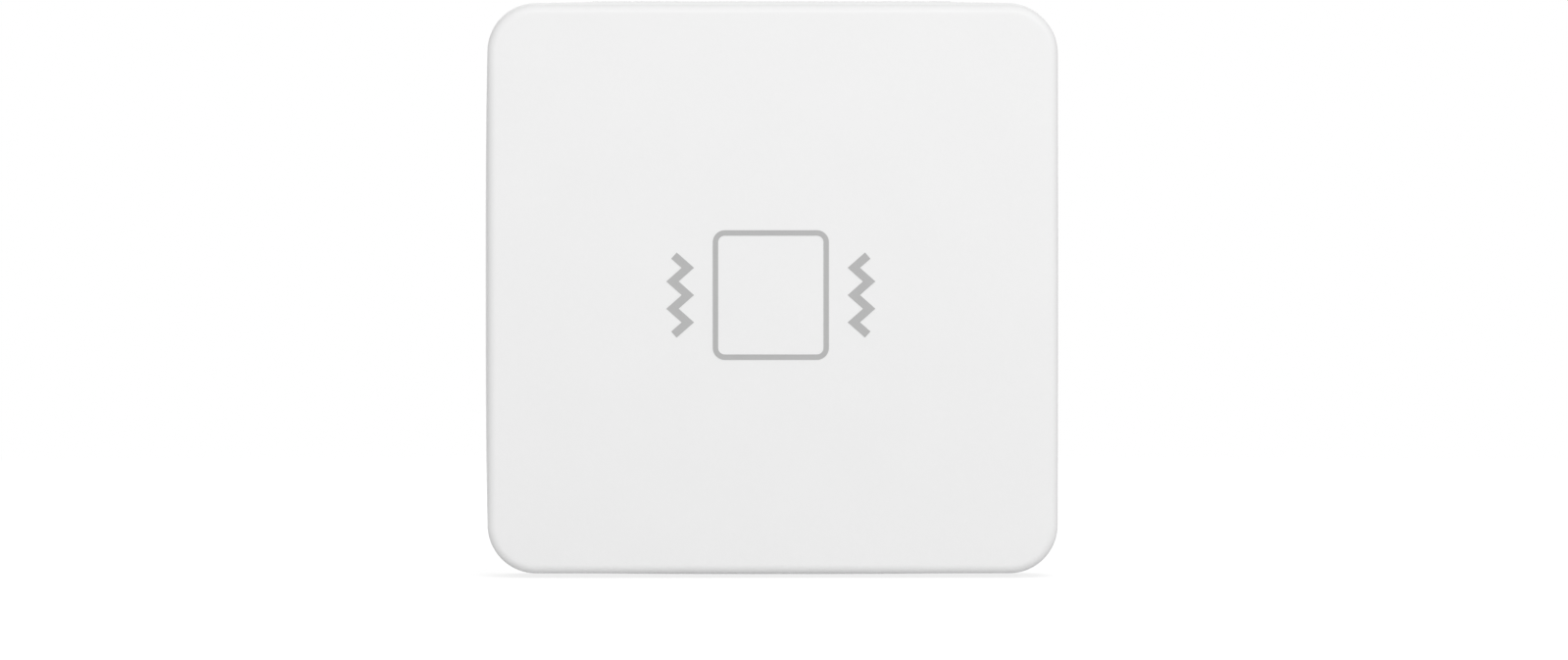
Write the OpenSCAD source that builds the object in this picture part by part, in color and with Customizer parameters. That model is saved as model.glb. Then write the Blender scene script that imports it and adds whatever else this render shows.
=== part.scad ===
// Stick-on vibration sensor tag: a square two-part case with a sliding battery door, two AAA cells,
// and a circuit board with a radio, an accelerometer, a push switch and a slide switch.
// Every piece is drawn lying on its back (x to the right, y up the face, z from the back to the front)
// and is then stood upright, with its face towards -Y and its lower edge on z = 0. Sizes are in mm.

/* [Case] */
// Side of the square case
case_size = 60; // [58:0.5:80]
// Radius of the four corners, seen from the front
corner_r = 5.1; // [3.8:0.1:9]
// Rounding of the front edge
front_edge_r = 0.7; // [0.4:0.1:1.6]
// Rounding of the back edge
back_edge_r = 1; // [0.4:0.1:1.6]
// Thickness of the side walls
wall = 1.8; // [1.5:0.1:2.4]
// Thickness of the front wall
front_wall = 1.7; // [1.3:0.1:2.5]
// Thickness of the back wall beside the door
back_wall = 1.8; // [1.4:0.1:2.4]
// Depth of the rear housing, from the back to the parting line
rear_depth = 7.5; // [6:0.5:9]
// Height of the shadow groove at the parting line
seam_h = 0.35; // [0.2:0.05:0.8]
// Depth of the shadow groove
seam_depth = 0.3; // [0.1:0.05:0.5]
// Height of the lip that locates the front shell
lip_h = 1.5; // [0.8:0.1:2.5]
// Thickness of the lip
lip_t = 0.8; // [0.6:0.05:1]
// Gap around the lip, and in front of the hold-down posts
lip_gap = 0.1; // [0.05:0.05:0.2]

/* [Printed symbol] */
// Width of the rounded square
symbol_w = 12.1; // [8:0.1:15]
// Height of the rounded square
symbol_h = 13.5; // [8:0.05:20]
// Outer corner radius of the rounded square
symbol_r = 1.25; // [0.8:0.05:3]
// Line width of the rounded square
symbol_line = 0.56; // [0.3:0.02:0.7]
// Height of the symbol's middle above the middle of the face
symbol_rise = -0.6; // [-8:0.1:8]
// Sideways place of the symbol's middle, from the middle of the face
symbol_shift = -0.2; // [-4:0.1:4]
// From the middle to the inner turning points of a zigzag
zigzag_near = 8.65; // [8:0.05:12]
// Swing of a zigzag, from its inner to its outer turning points
zigzag_swing = 1.6; // [0.8:0.05:3]
// Height of one stroke of a zigzag
zigzag_step = 1.42; // [0.8:0.02:2]
// Strokes in a zigzag
zigzag_strokes = 6; // [2:2:10]
// Line width of the zigzags
zigzag_line = 0.85; // [0.3:0.05:1.2]
// How far the first and last strokes fall short
zigzag_trim = 0.15; // [0:0.05:0.6]
// Thickness of the ink
ink_t = 0.04; // [0.02:0.01:0.1]

/* [Cells] */
// Diameter of a cell, over its wrap
cell_d = 10.5; // [9.5:0.1:11]
// Length of a cell, with its nub
cell_len = 44.5; // [42:0.1:46]
// Diameter of the nub
nub_d = 3.6; // [2.5:0.1:5]
// Height of the nub
nub_h = 1; // [0.6:0.1:1.6]
// Chamfer at the ends of the can
can_chamfer = 0.4; // [0.1:0.1:0.8]
// Thickness of the wrap
wrap_t = 0.13; // [0.05:0.01:0.3]
// Gap between the wrap and the can
wrap_gap = 0.02; // [0.01:0.01:0.05]
// How far the wrap stops short of the ends of the can
wrap_inset = 0.6; // [0.4:0.1:2]
// Space between the two cells
cell_gap = 1.1; // [0.6:0.1:3]
// Room around the cells in their bay
cell_play = 0.3; // [0.2:0.05:0.6]

/* [Contacts] */
// Thickness of the contact plates
contact_t = 0.3; // [0.2:0.05:0.5]
// Width of a contact plate
contact_w = 8.5; // [7.5:0.1:10]
// Height of a contact plate
contact_h = 9.5; // [8.5:0.1:10.5]
// Diameter of the dimple that meets a nub
dimple_d = 4; // [3:0.1:6]
// Diameter of the dimple's flat top
dimple_top_d = 2.6; // [1.5:0.1:2.9]
// Height of the dimple
dimple_h = 0.6; // [0.3:0.1:1.2]
// Width of the solder tabs
tab_w = 2; // [1:0.1:4]
// How far the solder tabs stand out of the board
tab_past = 0.5; // [0.2:0.1:1]
// Gap around the tabs in their slots
slot_gap = 0.2; // [0.1:0.05:0.5]
// Length of a spring in place, from its plate to the cell
spring_len = 3.5; // [3:0.1:5]
// Diameter of a spring at its plate
spring_d = 7; // [6:0.1:8]
// Diameter of a spring at the cell
spring_tip_d = 4.4; // [3:0.1:5]
// Diameter of the spring wire
spring_wire = 0.5; // [0.4:0.05:0.6]
// Turns of a spring
spring_turns = 2.75; // [2:0.25:3]
// Gap left at both ends of a spring
spring_gap = 0.03; // [0.02:0.01:0.1]

/* [Battery bay and door] */
// Thickness of the walls of the bay and of the control well
bay_wall = 1.1; // [0.8:0.1:1.5]
// Thickness of the floor of the bay
bay_floor = 0.85; // [0.6:0.05:1.5]
// Width of the divider between the cells
divider_w = 1.2; // [0.8:0.1:2]
// Height of the divider
divider_h = 2.4; // [1:0.1:3]
// Length of the divider
divider_len = 36; // [10:1:40]
// Thickness of the door
door_t = 1.8; // [1.4:0.1:2.5]
// Width of the tongues along the door's edges
tongue_w = 1; // [0.6:0.1:1.3]
// Thickness of the tongues
tongue_t = 0.85; // [0.6:0.05:1.1]
// Gap around the door
slide_gap = 0.15; // [0.1:0.05:0.25]
// Width of the seat around the openings under the door
frame_w = 1.2; // [0.8:0.1:1.5]
// Thickness of the seat
frame_t = 1.2; // [0.8:0.1:2]
// Thickness of the rails outside the tongues
rail_w = 1.3; // [0.8:0.1:2]
// Grooves in the thumb grip
grip_count = 6; // [3:1:9]
// Width of a grip groove
grip_w = 0.9; // [0.5:0.1:1.3]
// Spacing of the grip grooves
grip_pitch = 1.8; // [1.5:0.1:3]
// Length of a grip groove
grip_len = 14; // [8:0.5:24]
// Depth of the grip grooves and of the arrow
grip_depth = 0.35; // [0.15:0.05:0.7]
// From the lower end of the door to the first grip groove
grip_start = 5; // [3:0.5:15]
// Width of the arrow above the grip
arrow_w = 6; // [3:0.5:12]
// Height of the arrow
arrow_h = 3.4; // [2:0.2:8]
// Space between the grip and the arrow
arrow_gap = 2; // [1:0.5:6]

/* [Adhesive strips] */
// Width of a strip
strip_w = 7; // [4:0.5:9]
// Thickness of a strip
strip_t = 0.8; // [0.4:0.1:1.5]
// Corner radius of a strip
strip_r = 1.2; // [0.4:0.1:1.8]
// Space between a strip and the screw holes
strip_gap = 0.7; // [0.4:0.1:4]

/* [Control well] */
// Width of the well beside the cells
well_w = 9.5; // [8.5:0.1:10.5]
// Length of the well
well_len = 34; // [32:0.5:44]
// Room between the controls and the door
well_room = 1.4; // [0.6:0.1:2]
// Thickness of the ledge that the controls reach through
ledge_t = 1.2; // [0.8:0.1:1.6]
// How far the controls stand out of the ledge
reach = 1.2; // [0.6:0.1:1.6]
// Gap around the controls where they pass a plate
control_gap = 0.25; // [0.2:0.05:0.35]

/* [Pair switch] */
// Height of the switch's middle above the middle of the face
pair_y = -9.5; // [-11:0.5:-7]
// Side of the switch body
pair_size = 6; // [5.8:0.1:6.6]
// Height of the switch body
pair_h = 3.3; // [2.8:0.1:4]
// Thickness of the cover plate
cover_t = 0.3; // [0.2:0.05:0.5]
// Diameter of the button's stem
stem_d = 3.4; // [2.8:0.1:3.8]
// Diameter of the collar that keeps the button in
collar_d = 4.8; // [4.5:0.1:5]
// Thickness of the collar
collar_h = 0.7; // [0.4:0.1:1]
// Travel of the button
press = 0.3; // [0.2:0.05:0.5]
// Play of the collar in the body
press_play = 0.1; // [0.05:0.05:0.2]

/* [Slide switch] */
// Height of the switch's middle above the middle of the face
slider_y = 8.5; // [5:0.5:9]
// Width of the switch
slide_w = 4.4; // [4.2:0.1:6]
// Length of the switch
slide_len = 9.6; // [9:0.1:13]
// Thickness of the base
slide_base_t = 1.2; // [0.8:0.1:1.8]
// Height of the metal shell
slide_shell_h = 2.4; // [2.2:0.1:3]
// Thickness of the shell's sheet metal
shell_t = 0.3; // [0.2:0.05:0.4]
// Width of the lever
lever_w = 2; // [1.2:0.1:2.4]
// Length of the lever along its travel
lever_len = 2.4; // [1.6:0.1:3]
// Width of the carriage under the lever
carriage_w = 3.2; // [2.8:0.1:3.4]
// Length of the carriage
carriage_len = 3.8; // [3.2:0.1:4.2]
// Play of the carriage in the shell
carriage_play = 0.25; // [0.2:0.05:0.35]
// Travel of the lever each way from its middle place
slide_step = 2; // [1:0.1:2.2]

/* [Switch legs] */
// Thickness of a leg
leg_t = 0.2; // [0.1:0.05:0.4]
// Width of a leg
leg_w = 0.7; // [0.4:0.1:1]
// Length of a leg's foot
leg_foot = 0.9; // [0.5:0.1:1.2]
// Height of a leg
leg_h = 1; // [0.5:0.1:1.1]
// Spacing of the legs
leg_pitch = 4.5; // [3:0.1:5]

/* [Circuit board] */
// Thickness of the board
board_t = 1; // [0.6:0.1:1.6]
// Gap between the board and the floor of the bay
board_gap = 0.1; // [0.05:0.05:0.5]
// Gap between the board and the side walls
board_inset = 1.2; // [0.6:0.1:2]
// Gap between the board and the screw bosses
boss_clear = 0.6; // [0.3:0.1:1.5]
// Gap between the tallest piece on the board and the front wall
front_play = 0.3; // [0.2:0.1:3]

/* [Parts on the board] */
// Middle of the radio, from the middle of the board
radio_at = [-9, 12]; // [-12:0.5:13]
// Side of the radio chip
radio_size = 5; // [3:0.5:7]
// Height of the radio chip
radio_h = 0.8; // [0.5:0.05:0.95]
// Width of the shield can
can_w = 14; // [10:0.5:15]
// Length of the shield can
can_l = 12; // [9:0.5:15]
// Height of the shield can
can_h = 1.2; // [1.1:0.05:2]
// Thickness of the shield can
can_t = 0.15; // [0.1:0.05:0.2]
// Middle of the accelerometer
accel_at = [0, -2]; // [-4:0.5:4]
// Side of the accelerometer
accel_size = 2; // [1.5:0.1:4]
// Height of the accelerometer
accel_h = 0.9; // [0.6:0.05:1.1]
// Middle of the crystal
crystal_at = [2.5, 12]; // [1:0.5:16]
// Width of the crystal
crystal_w = 3.2; // [2:0.1:5]
// Length of the crystal
crystal_l = 2.5; // [1.6:0.1:3.5]
// Height of the crystal
crystal_h = 0.7; // [0.5:0.05:1]
// Middle of the power chip
power_at = [12, -8]; // [-12:0.5:14]
// Width of the power chip
power_w = 2.9; // [2:0.1:5]
// Length of the power chip
power_l = 1.6; // [1.2:0.1:4]
// Height of the power chip
power_h = 1.1; // [0.6:0.05:1.4]
// Space between the bulk capacitor, on the back of the board, and the edge of the board
bulk_edge = 2.75; // [2.25:0.25:4]
// Height of the bulk capacitor's middle above the middle of the board
bulk_rise = 14; // [8:0.5:17]
// Width of the bulk capacitor
bulk_w = 3.5; // [2:0.1:5]
// Length of the bulk capacitor
bulk_l = 2.8; // [2:0.1:5]
// Height of the bulk capacitor
bulk_h = 1.9; // [1:0.1:2.5]
// First place in the row of capacitors
caps_at = [-18.5, 7]; // [-20:0.5:9]
// Capacitors in the row
cap_count = 6; // [1:1:7]
// First place in the row of resistors
resistors_at = [-15, -7]; // [-17:0.5:-5]
// Resistors in the row
resistor_count = 6; // [1:1:8]
// Spacing in both rows
chip_pitch = 2; // [1.4:0.1:2.2]
// Length of a capacitor or resistor
chip_len = 1; // [0.6:0.1:1.6]
// Width of a capacitor or resistor
chip_w = 0.5; // [0.3:0.05:0.8]
// Height of a capacitor
cap_h = 0.5; // [0.3:0.05:0.8]
// Height of a resistor
resistor_h = 0.35; // [0.2:0.05:0.6]
// Turning points of the antenna
antenna_turns = 14; // [4:2:18]
// Spacing of the antenna's runs
antenna_pitch = 1.6; // [1.2:0.1:2]
// Height of the antenna's runs
antenna_h = 3.2; // [1.5:0.1:4]
// Width of the antenna's track
antenna_line = 0.6; // [0.3:0.05:0.8]
// Space between the antenna and the edge of the board
antenna_inset = 0.8; // [0.5:0.1:1.5]
// Thickness of the antenna's track
antenna_t = 0.05; // [0.03:0.01:0.1]

/* [Status light] */
// Middle of the light, from the middle of the face
led_at = [0, -17.5]; // [-18:0.5:4]
// Width of the light
led_w = 2; // [1.6:0.1:3]
// Length of the light
led_l = 1.25; // [0.8:0.05:2]
// Height of the light
led_h = 0.75; // [0.4:0.05:1.1]
// Bore of the light well behind the front wall
light_d = 4.4; // [4:0.1:5]
// Wall thickness of the light well
light_wall = 0.9; // [0.6:0.1:1.1]
// Thickness of the front wall where the light shines through
light_skin = 0.7; // [0.4:0.1:1.2]

/* [Screws] */
// Diameter of the screw columns of the rear housing
column_d = 6.4; // [6.2:0.1:7]
// Gap between the screw columns and the walls
column_gap = 0.4; // [0.2:0.1:0.8]
// How far the columns rise past the parting line
column_rise = 2.7; // [1.5:0.1:4]
// Diameter of the bosses of the front shell
boss_d = 5.2; // [4.5:0.1:5.8]
// Depth of the screw seats from the back
seat_z = 5; // [4:0.1:6]
// Diameter of the holes for the screw heads
sink_d = 4.6; // [4.3:0.1:5]
// Diameter of a case screw's head
head_d = 4; // [3.4:0.1:4.2]
// Height of a case screw's head
head_h = 1.4; // [1:0.1:1.6]
// Diameter of a case screw
screw_d = 1.9; // [1.5:0.1:2.2]
// Length of a case screw under its head
screw_len = 10; // [8.5:0.5:10.5]
// Diameter of the hole through the columns
pass_d = 2.5; // [2.3:0.1:3]
// Gap around a screw in the hole that it cuts its thread in
thread_gap = 0.05; // [0.02:0.01:0.1]
// Room past the point of a screw
tip_room = 0.5; // [0.3:0.1:1]
// Diameter of the two posts that carry the board
post_d = 5; // [4:0.1:6]
// Diameter of a board screw's head
board_head_d = 3.6; // [3:0.1:4.5]
// Height of a board screw's head
board_head_h = 1.1; // [0.8:0.1:1.4]
// Diameter of a board screw
board_screw_d = 1.5; // [1.2:0.1:2]
// Length of a board screw under its head
board_screw_len = 7; // [5:0.5:9]
// Gap around a board screw in the board
board_hole_gap = 0.3; // [0.1:0.05:0.6]
// Length of the cross in the screw heads
cross_len = 2; // [1.4:0.1:2.6]
// Width of the cross
cross_w = 0.5; // [0.3:0.05:0.8]
// Depth of the cross
cross_depth = 0.6; // [0.3:0.05:0.7]
// Diameter of the hold-down posts of the front shell
hold_d = 2.4; // [1.6:0.1:3]
// Height of the hold-down posts above and below the middle
hold_y = 15; // [8:0.5:17]

/* [Hidden] */
$fn = 64;

// How far a cut runs past the face that it opens, and a boss into the wall that carries it
over = 0.6;
// Sides and points in a turn of the spring wire
wire_sides = 8;
wire_points = 24;

half = case_size / 2;
inner = half - wall;
corner_at = half - corner_r;

// Across the back: the bay for the cells, one wall, and the control well, centred under the door
bay_w = 2 * cell_d + cell_gap + 2 * cell_play;
bay_len = cell_len + spring_len + dimple_h + 2 * contact_t;
content_w = bay_w + bay_wall + well_w;
bay_left = -content_w / 2;
bay_right = bay_left + bay_w;
well_left = bay_right + bay_wall;
well_x = well_left + well_w / 2;
left_x = bay_left + cell_play + cell_d / 2;
right_x = left_x + cell_d + cell_gap;
middle_x = (left_x + right_x) / 2;

// The door and the rails that it slides in
door_half = content_w / 2 + frame_w;
slot_half = door_half + slide_gap;
tongue_half = door_half + tongue_w;
groove_half = tongue_half + slide_gap;
frame_half = groove_half + rail_w;
door_low = -bay_len / 2 - frame_w;
tongue_low = door_low - tongue_w;
tongue_z = door_t - tongue_t;
grip_top = door_low + grip_start + (grip_count - 1) * grip_pitch + grip_w;

// From the back to the front
pocket_z = door_t + slide_gap;
ledge_z = pocket_z + well_room + reach;
cell_z = pocket_z + cell_play + cell_d / 2;
bay_z = pocket_z + 2 * cell_play + cell_d;
board_z = bay_z + bay_floor + board_gap;
board_front = board_z + board_t;
front_in = board_front + front_play
    + max(can_h, accel_h, crystal_h, power_h, cap_h, resistor_h, led_h, board_head_h);
case_depth = front_in + front_wall;
control_end = ledge_z - reach;
pair_z = board_z - pair_h;
slide_z = board_z - slide_base_t;
shell_z = slide_z - slide_shell_h;
carriage_z = shell_z + shell_t + carriage_play;

// Screws, posts and the board around them
screw_at = min(inner - column_d / 2 - column_gap,
    corner_at + (corner_r - wall - column_d / 2 - column_gap) / sqrt(2));
column_top = rear_depth + column_rise;
post_x = (content_w / 2 + bay_wall + inner) / 2;
board_half = inner - board_inset;
bulk_at = [bulk_edge + bulk_w / 2 - board_half, bulk_rise];
board_notch = screw_at - boss_d / 2 - boss_clear;
tab_y = bay_len / 2 - contact_t / 2;

// Adhesive strips beside the door, between the screw holes
strip_x = (slot_half + half - back_edge_r) / 2;
strip_len = 2 * (screw_at - sink_d / 2 - strip_gap);

// Middle of the whole depth, from the strips to the ink
depth_middle = (case_depth + ink_t - strip_t) / 2;

case_white = [0.93, 0.93, 0.94];
ink_grey = [0.7, 0.71, 0.72];
steel = [0.78, 0.78, 0.8];
nickel = [0.82, 0.8, 0.74];
dark = [0.12, 0.12, 0.13];
corners = [for (x = [-1, 1], y = [-1, 1]) [x, y]];

// Stands what is drawn on its back upright
module upright() {
    translate([0, depth_middle, half]) rotate([90, 0, 0]) children();
}

// A square with rounded corners, from z0 to z1
module slab(size, r, z0, z1) {
    translate([0, 0, z0]) linear_extrude(z1 - z0) rounded(size, size, r);
}

// A rectangle with rounded corners
module rounded(w, h, r) {
    square([w, h - 2 * r], center = true);
    square([w - 2 * r, h], center = true);
    for (c = corners) translate([c[0] * (w / 2 - r), c[1] * (h / 2 - r)]) circle(r);
}

// Section of the case from its outline at x = 0 inwards, with its back and front edges rounded
module edge_section(depth, z0, z1, back_r, front_r) {
    difference() {
        translate([-depth, z0]) square([depth, z1 - z0]);
        if (front_r > 0) translate([-front_r, z1 - front_r]) edge_cutter(front_r);
        if (back_r > 0) translate([-back_r, z0 + back_r]) rotate(-90) edge_cutter(back_r);
    }
}

// What a rounding takes away from a square edge
module edge_cutter(r) {
    difference() {
        square(r + over);
        circle(r);
    }
}

// A quarter of a turn of the same section, for the corners of the case
module corner_section(z0, z1, back_r, front_r) {
    difference() {
        translate([corner_r, 0]) edge_section(corner_r + over, z0, z1, back_r, front_r);
        translate([-2 * over, z0 - over]) square([2 * over, z1 - z0 + 2 * over]);
    }
}

// The whole outside of the case between two heights
module case_block(z0, z1, back_r, front_r) {
    for (turn = [0, 90]) rotate(turn) translate([0, corner_at, 0]) rotate([90, 0, 0])
        linear_extrude(2 * corner_at) for (side = [0, 1]) mirror([side, 0])
            translate([half, 0]) edge_section(half, z0, z1, back_r, front_r);
    for (turn = [0:90:270]) rotate(turn) translate([corner_at, corner_at, 0])
        rotate_extrude(angle = 90) corner_section(z0, z1, back_r, front_r);
}

// A range of width w around x
function around(x, w) = [x - w / 2, x + w / 2];

// A box given by its ranges in x, y and z
module range_box(x, y, z) {
    translate([x[0], y[0], z[0]]) cube([x[1] - x[0], y[1] - y[0], z[1] - z[0]]);
}

// A box that stands on height z, centred on a point
module chip(at, w, l, z, h) {
    translate([at[0] - w / 2, at[1] - l / 2, z]) cube([w, l, h]);
}

// A round peg or hole from z0 to z1
module peg(at, d, z0, z1) {
    translate([at[0], at[1], z0]) cylinder(h = z1 - z0, d = d);
}

// A line of constant width along points, with mitred corners and square ends
function unit(v) = v / norm(v);
function left_of(v) = [-v[1], v[0]];
function mitre(p, i, w) = let (last = len(p) - 1,
    before = left_of(unit(p[max(i, 1)] - p[max(i, 1) - 1])),
    after = left_of(unit(p[min(i, last - 1) + 1] - p[min(i, last - 1)])),
    m = unit(before + after)) m * w / 2 / (m * before);
module stroke(p, w) {
    last = len(p) - 1;
    polygon(concat([for (i = [0:last]) p[i] + mitre(p, i, w)],
        [for (i = [last:-1:0]) p[i] - mitre(p, i, w)]));
}

// Turning points of a zigzag, from the top down
function zigzag_end(i) = i == 0 ? 1 : i == zigzag_strokes ? -1 : 0;
function zigzag_points() = [for (i = [0:zigzag_strokes])
    [zigzag_near + (i % 2 == 0 ? zigzag_swing : 0) - abs(zigzag_end(i)) * zigzag_trim,
     (zigzag_strokes / 2 - i) * zigzag_step - zigzag_end(i) * zigzag_trim]];

module front_shell() {
    color(case_white) upright() difference() {
        union() {
            difference() {
                case_block(rear_depth, case_depth, 0, front_edge_r);
                slab(2 * inner, corner_r - wall, rear_depth - over, front_in);
                slab(2 * (inner + lip_t + lip_gap), corner_r - wall + lip_t + lip_gap,
                    rear_depth - over, rear_depth + lip_h + lip_gap);
            }
            for (c = corners) {
                peg(c * screw_at, boss_d, column_top + lip_gap, front_in + over);
                peg([c[0] * post_x, c[1] * hold_y], hold_d, board_front + lip_gap, front_in + over);
            }
            peg(led_at, light_d + 2 * light_wall, board_front + lip_gap, front_in + over);
        }
        for (c = corners)
            peg(c * screw_at, screw_d + 2 * thread_gap, column_top - over, seat_z + screw_len + tip_room);
        peg(led_at, light_d, board_front - over, case_depth - light_skin);
    }
}

module printed_symbol() {
    color(ink_grey) upright() translate([symbol_shift, symbol_rise, case_depth]) linear_extrude(ink_t) {
        difference() {
            rounded(symbol_w, symbol_h, symbol_r);
            rounded(symbol_w - 2 * symbol_line, symbol_h - 2 * symbol_line, symbol_r - symbol_line);
        }
        for (side = [0, 1]) mirror([side, 0]) stroke(zigzag_points(), zigzag_line);
    }
}

// The rear wall and sides, with the shadow groove and the lip
module tray() {
    difference() {
        union() {
            case_block(0, rear_depth, back_edge_r, 0);
            slab(2 * (inner + lip_t), corner_r - wall + lip_t, rear_depth - over, rear_depth + lip_h);
        }
        slab(2 * inner, corner_r - wall, back_wall, rear_depth + lip_h + over);
        difference() {
            slab(case_size + 2 * over, corner_r + over, rear_depth - seam_h, rear_depth);
            slab(case_size - 2 * seam_depth, corner_r - seam_depth,
                rear_depth - seam_h - over, rear_depth + over);
        }
    }
}

// The slot that the door slides in, open at the top edge of the case
module door_pocket() {
    range_box([-slot_half, slot_half], [door_low - slide_gap, half + over], [-over, pocket_z]);
    range_box([-groove_half, groove_half], [tongue_low - slide_gap, half + over],
        [tongue_z - slide_gap, pocket_z]);
}

module rear_housing() {
    color(case_white) upright() {
        difference() {
            union() {
                tray();
                range_box([-frame_half, frame_half], [-half + wall / 2, half - wall / 2],
                    [back_wall / 2, pocket_z + frame_t]);
                range_box([bay_left - bay_wall, bay_right + bay_wall],
                    [-bay_len / 2 - bay_wall, bay_len / 2 + bay_wall],
                    [back_wall / 2, bay_z + bay_floor]);
                range_box([bay_right, well_left + well_w + bay_wall],
                    [-well_len / 2 - bay_wall, well_len / 2 + bay_wall],
                    [back_wall / 2, ledge_z + ledge_t]);
                for (c = corners) peg(c * screw_at, column_d, back_wall / 2, column_top);
                for (side = [-1, 1]) peg([side * post_x, 0], post_d, back_wall / 2, board_z);
            }
            door_pocket();
            range_box([bay_left, bay_right], [-bay_len / 2, bay_len / 2], [-over, bay_z]);
            range_box([well_left, well_left + well_w], [-well_len / 2, well_len / 2], [-over, ledge_z]);
            for (x = [left_x, right_x]) tab_slot(x, bay_z - slot_gap, bay_z + bay_floor + over);
            for (c = corners) {
                peg(c * screw_at, sink_d, -over, seat_z);
                peg(c * screw_at, pass_d, -over, column_top + over);
            }
            for (side = [-1, 1])
                peg([side * post_x, 0], board_screw_d + 2 * thread_gap,
                    board_front - board_screw_len - tip_room, board_z + over);
            peg([well_x, pair_y], stem_d + 2 * control_gap, ledge_z - over, ledge_z + ledge_t + over);
            chip([well_x, slider_y], lever_w + 2 * control_gap, lever_len + 2 * slide_step + 2 * control_gap,
                ledge_z - over, ledge_t + 2 * over);
        }
        chip([middle_x, 0], divider_w, divider_len, bay_z - divider_h, divider_h + bay_floor / 2);
    }
}

// The opening that a solder tab passes through
module tab_slot(x, z0, z1) {
    chip([x, tab_y], tab_w + 2 * slot_gap, contact_t + 2 * slot_gap, z0, z1 - z0);
}

module battery_door() {
    color(case_white) upright() difference() {
        intersection() {
            case_block(0, rear_depth, back_edge_r, 0);
            union() {
                range_box([-door_half, door_half], [door_low, half + over], [-over, door_t]);
                range_box([-tongue_half, tongue_half], [tongue_low, half + over], [tongue_z, door_t]);
            }
        }
        for (i = [0:grip_count - 1])
            range_box([-grip_len / 2, grip_len / 2],
                [0, grip_w] + [1, 1] * (door_low + grip_start + i * grip_pitch), [-over, grip_depth]);
        translate([0, grip_top + arrow_gap, -over]) linear_extrude(grip_depth + over)
            polygon([[-arrow_w / 2, 0], [arrow_w / 2, 0], [0, arrow_h]]);
    }
}

module adhesive_strips() {
    color("dimgray") upright() for (side = [-1, 1])
        translate([side * strip_x, 0, -strip_t]) linear_extrude(strip_t) rounded(strip_w, strip_len, strip_r);
}

// Puts a cell in its place, with its nub up or down; its base is drawn at the origin
module cell_place(x, up) {
    translate([x, (up ? 1 : -1) * (bay_len / 2 - contact_t - dimple_h - cell_len), cell_z])
        rotate([up ? -90 : 90, 0, 0]) children();
}

// The steel can of a cell, with its nub
module can() {
    r = cell_d / 2 - wrap_t - wrap_gap;
    shoulder = cell_len - nub_h;
    rotate_extrude() polygon([[0, 0], [r - can_chamfer, 0], [r, can_chamfer], [r, shoulder - can_chamfer],
        [r - can_chamfer, shoulder], [nub_d / 2, shoulder], [nub_d / 2, cell_len], [0, cell_len]]);
}

// The printed sleeve around a cell
module wrap() {
    translate([0, 0, wrap_inset]) difference() {
        cylinder(h = cell_len - nub_h - 2 * wrap_inset, d = cell_d);
        translate([0, 0, -over]) cylinder(h = cell_len + over, d = cell_d - 2 * wrap_t);
    }
}

module cell_left() { color(steel) upright() cell_place(left_x, true) can(); }
module cell_right() { color(steel) upright() cell_place(right_x, false) can(); }
module wrap_left() { color("seagreen") upright() cell_place(left_x, true) wrap(); }
module wrap_right() { color("seagreen") upright() cell_place(right_x, false) wrap(); }

// A contact plate against the upper end of the bay, over a range of x
module contact_plate(x) {
    range_box(x, [bay_len / 2 - contact_t, bay_len / 2], [bay_z - contact_h, bay_z]);
}
module contact_tab(x) {
    chip([x, tab_y], tab_w, contact_t, bay_z - contact_h / 2, board_front + tab_past - bay_z + contact_h / 2);
}
module contact_dimple(x) {
    translate([x, bay_len / 2 - contact_t / 2, cell_z]) rotate([90, 0, 0]) {
        cylinder(h = contact_t / 2, d = dimple_d);
        translate([0, 0, contact_t / 2]) cylinder(h = dimple_h, d1 = dimple_d, d2 = dimple_top_d);
    }
}

module positive_contact() {
    color(nickel) upright() {
        contact_plate(around(left_x, contact_w));
        contact_tab(left_x);
        contact_dimple(left_x);
    }
}

module negative_contact() {
    color(nickel) upright() {
        contact_plate(around(right_x, contact_w));
        contact_tab(right_x);
    }
}

module series_contact() {
    color(nickel) upright() mirror([0, 1, 0]) {
        contact_plate([left_x - contact_w / 2, right_x + contact_w / 2]);
        contact_dimple(right_x);
    }
}

// The middle line of a conical spring that narrows as it rises, and the wire around it
spring_rise = spring_len - spring_wire - 2 * spring_gap;
spring_steps = ceil(spring_turns * wire_points);
function spring_r(i) = (spring_d - spring_wire + (spring_tip_d - spring_d) * i / spring_steps) / 2;
function spring_at(i) = [spring_r(i) * cos(360 * i / wire_points), spring_r(i) * sin(360 * i / wire_points),
    spring_gap + spring_wire / 2 + spring_rise * i / spring_steps];
function wire_ring(i) = let (a = 360 * i / wire_points) [for (k = [0:wire_sides - 1])
    spring_at(i) + spring_wire / 2 * (cos(360 * k / wire_sides) * [cos(a), sin(a), 0]
        + sin(360 * k / wire_sides) * [0, 0, 1])];
module conical_spring() {
    cap = spring_steps * wire_sides;
    polyhedron(
        points = [for (i = [0:spring_steps]) each wire_ring(i)],
        faces = concat(
            [for (i = [0:spring_steps - 1], k = [0:wire_sides - 1], half_face = [0, 1])
                let (a = i * wire_sides + k, b = i * wire_sides + (k + 1) % wire_sides)
                half_face == 0 ? [a, a + wire_sides, b] : [b, a + wire_sides, b + wire_sides]],
            [for (k = [1:wire_sides - 2]) [0, k, k + 1]],
            [for (k = [1:wire_sides - 2]) [cap, cap + k + 1, cap + k]]));
}

// Least gap between one turn of the spring and the next
spring_clear = min([for (i = [0:spring_steps - wire_points])
    norm(spring_at(i + wire_points) - spring_at(i))]) - spring_wire;
echo(spring_clear = spring_clear);

module negative_spring() {
    color(nickel) upright() translate([right_x, bay_len / 2 - contact_t, cell_z])
        rotate([90, 0, 0]) conical_spring();
}

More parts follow.
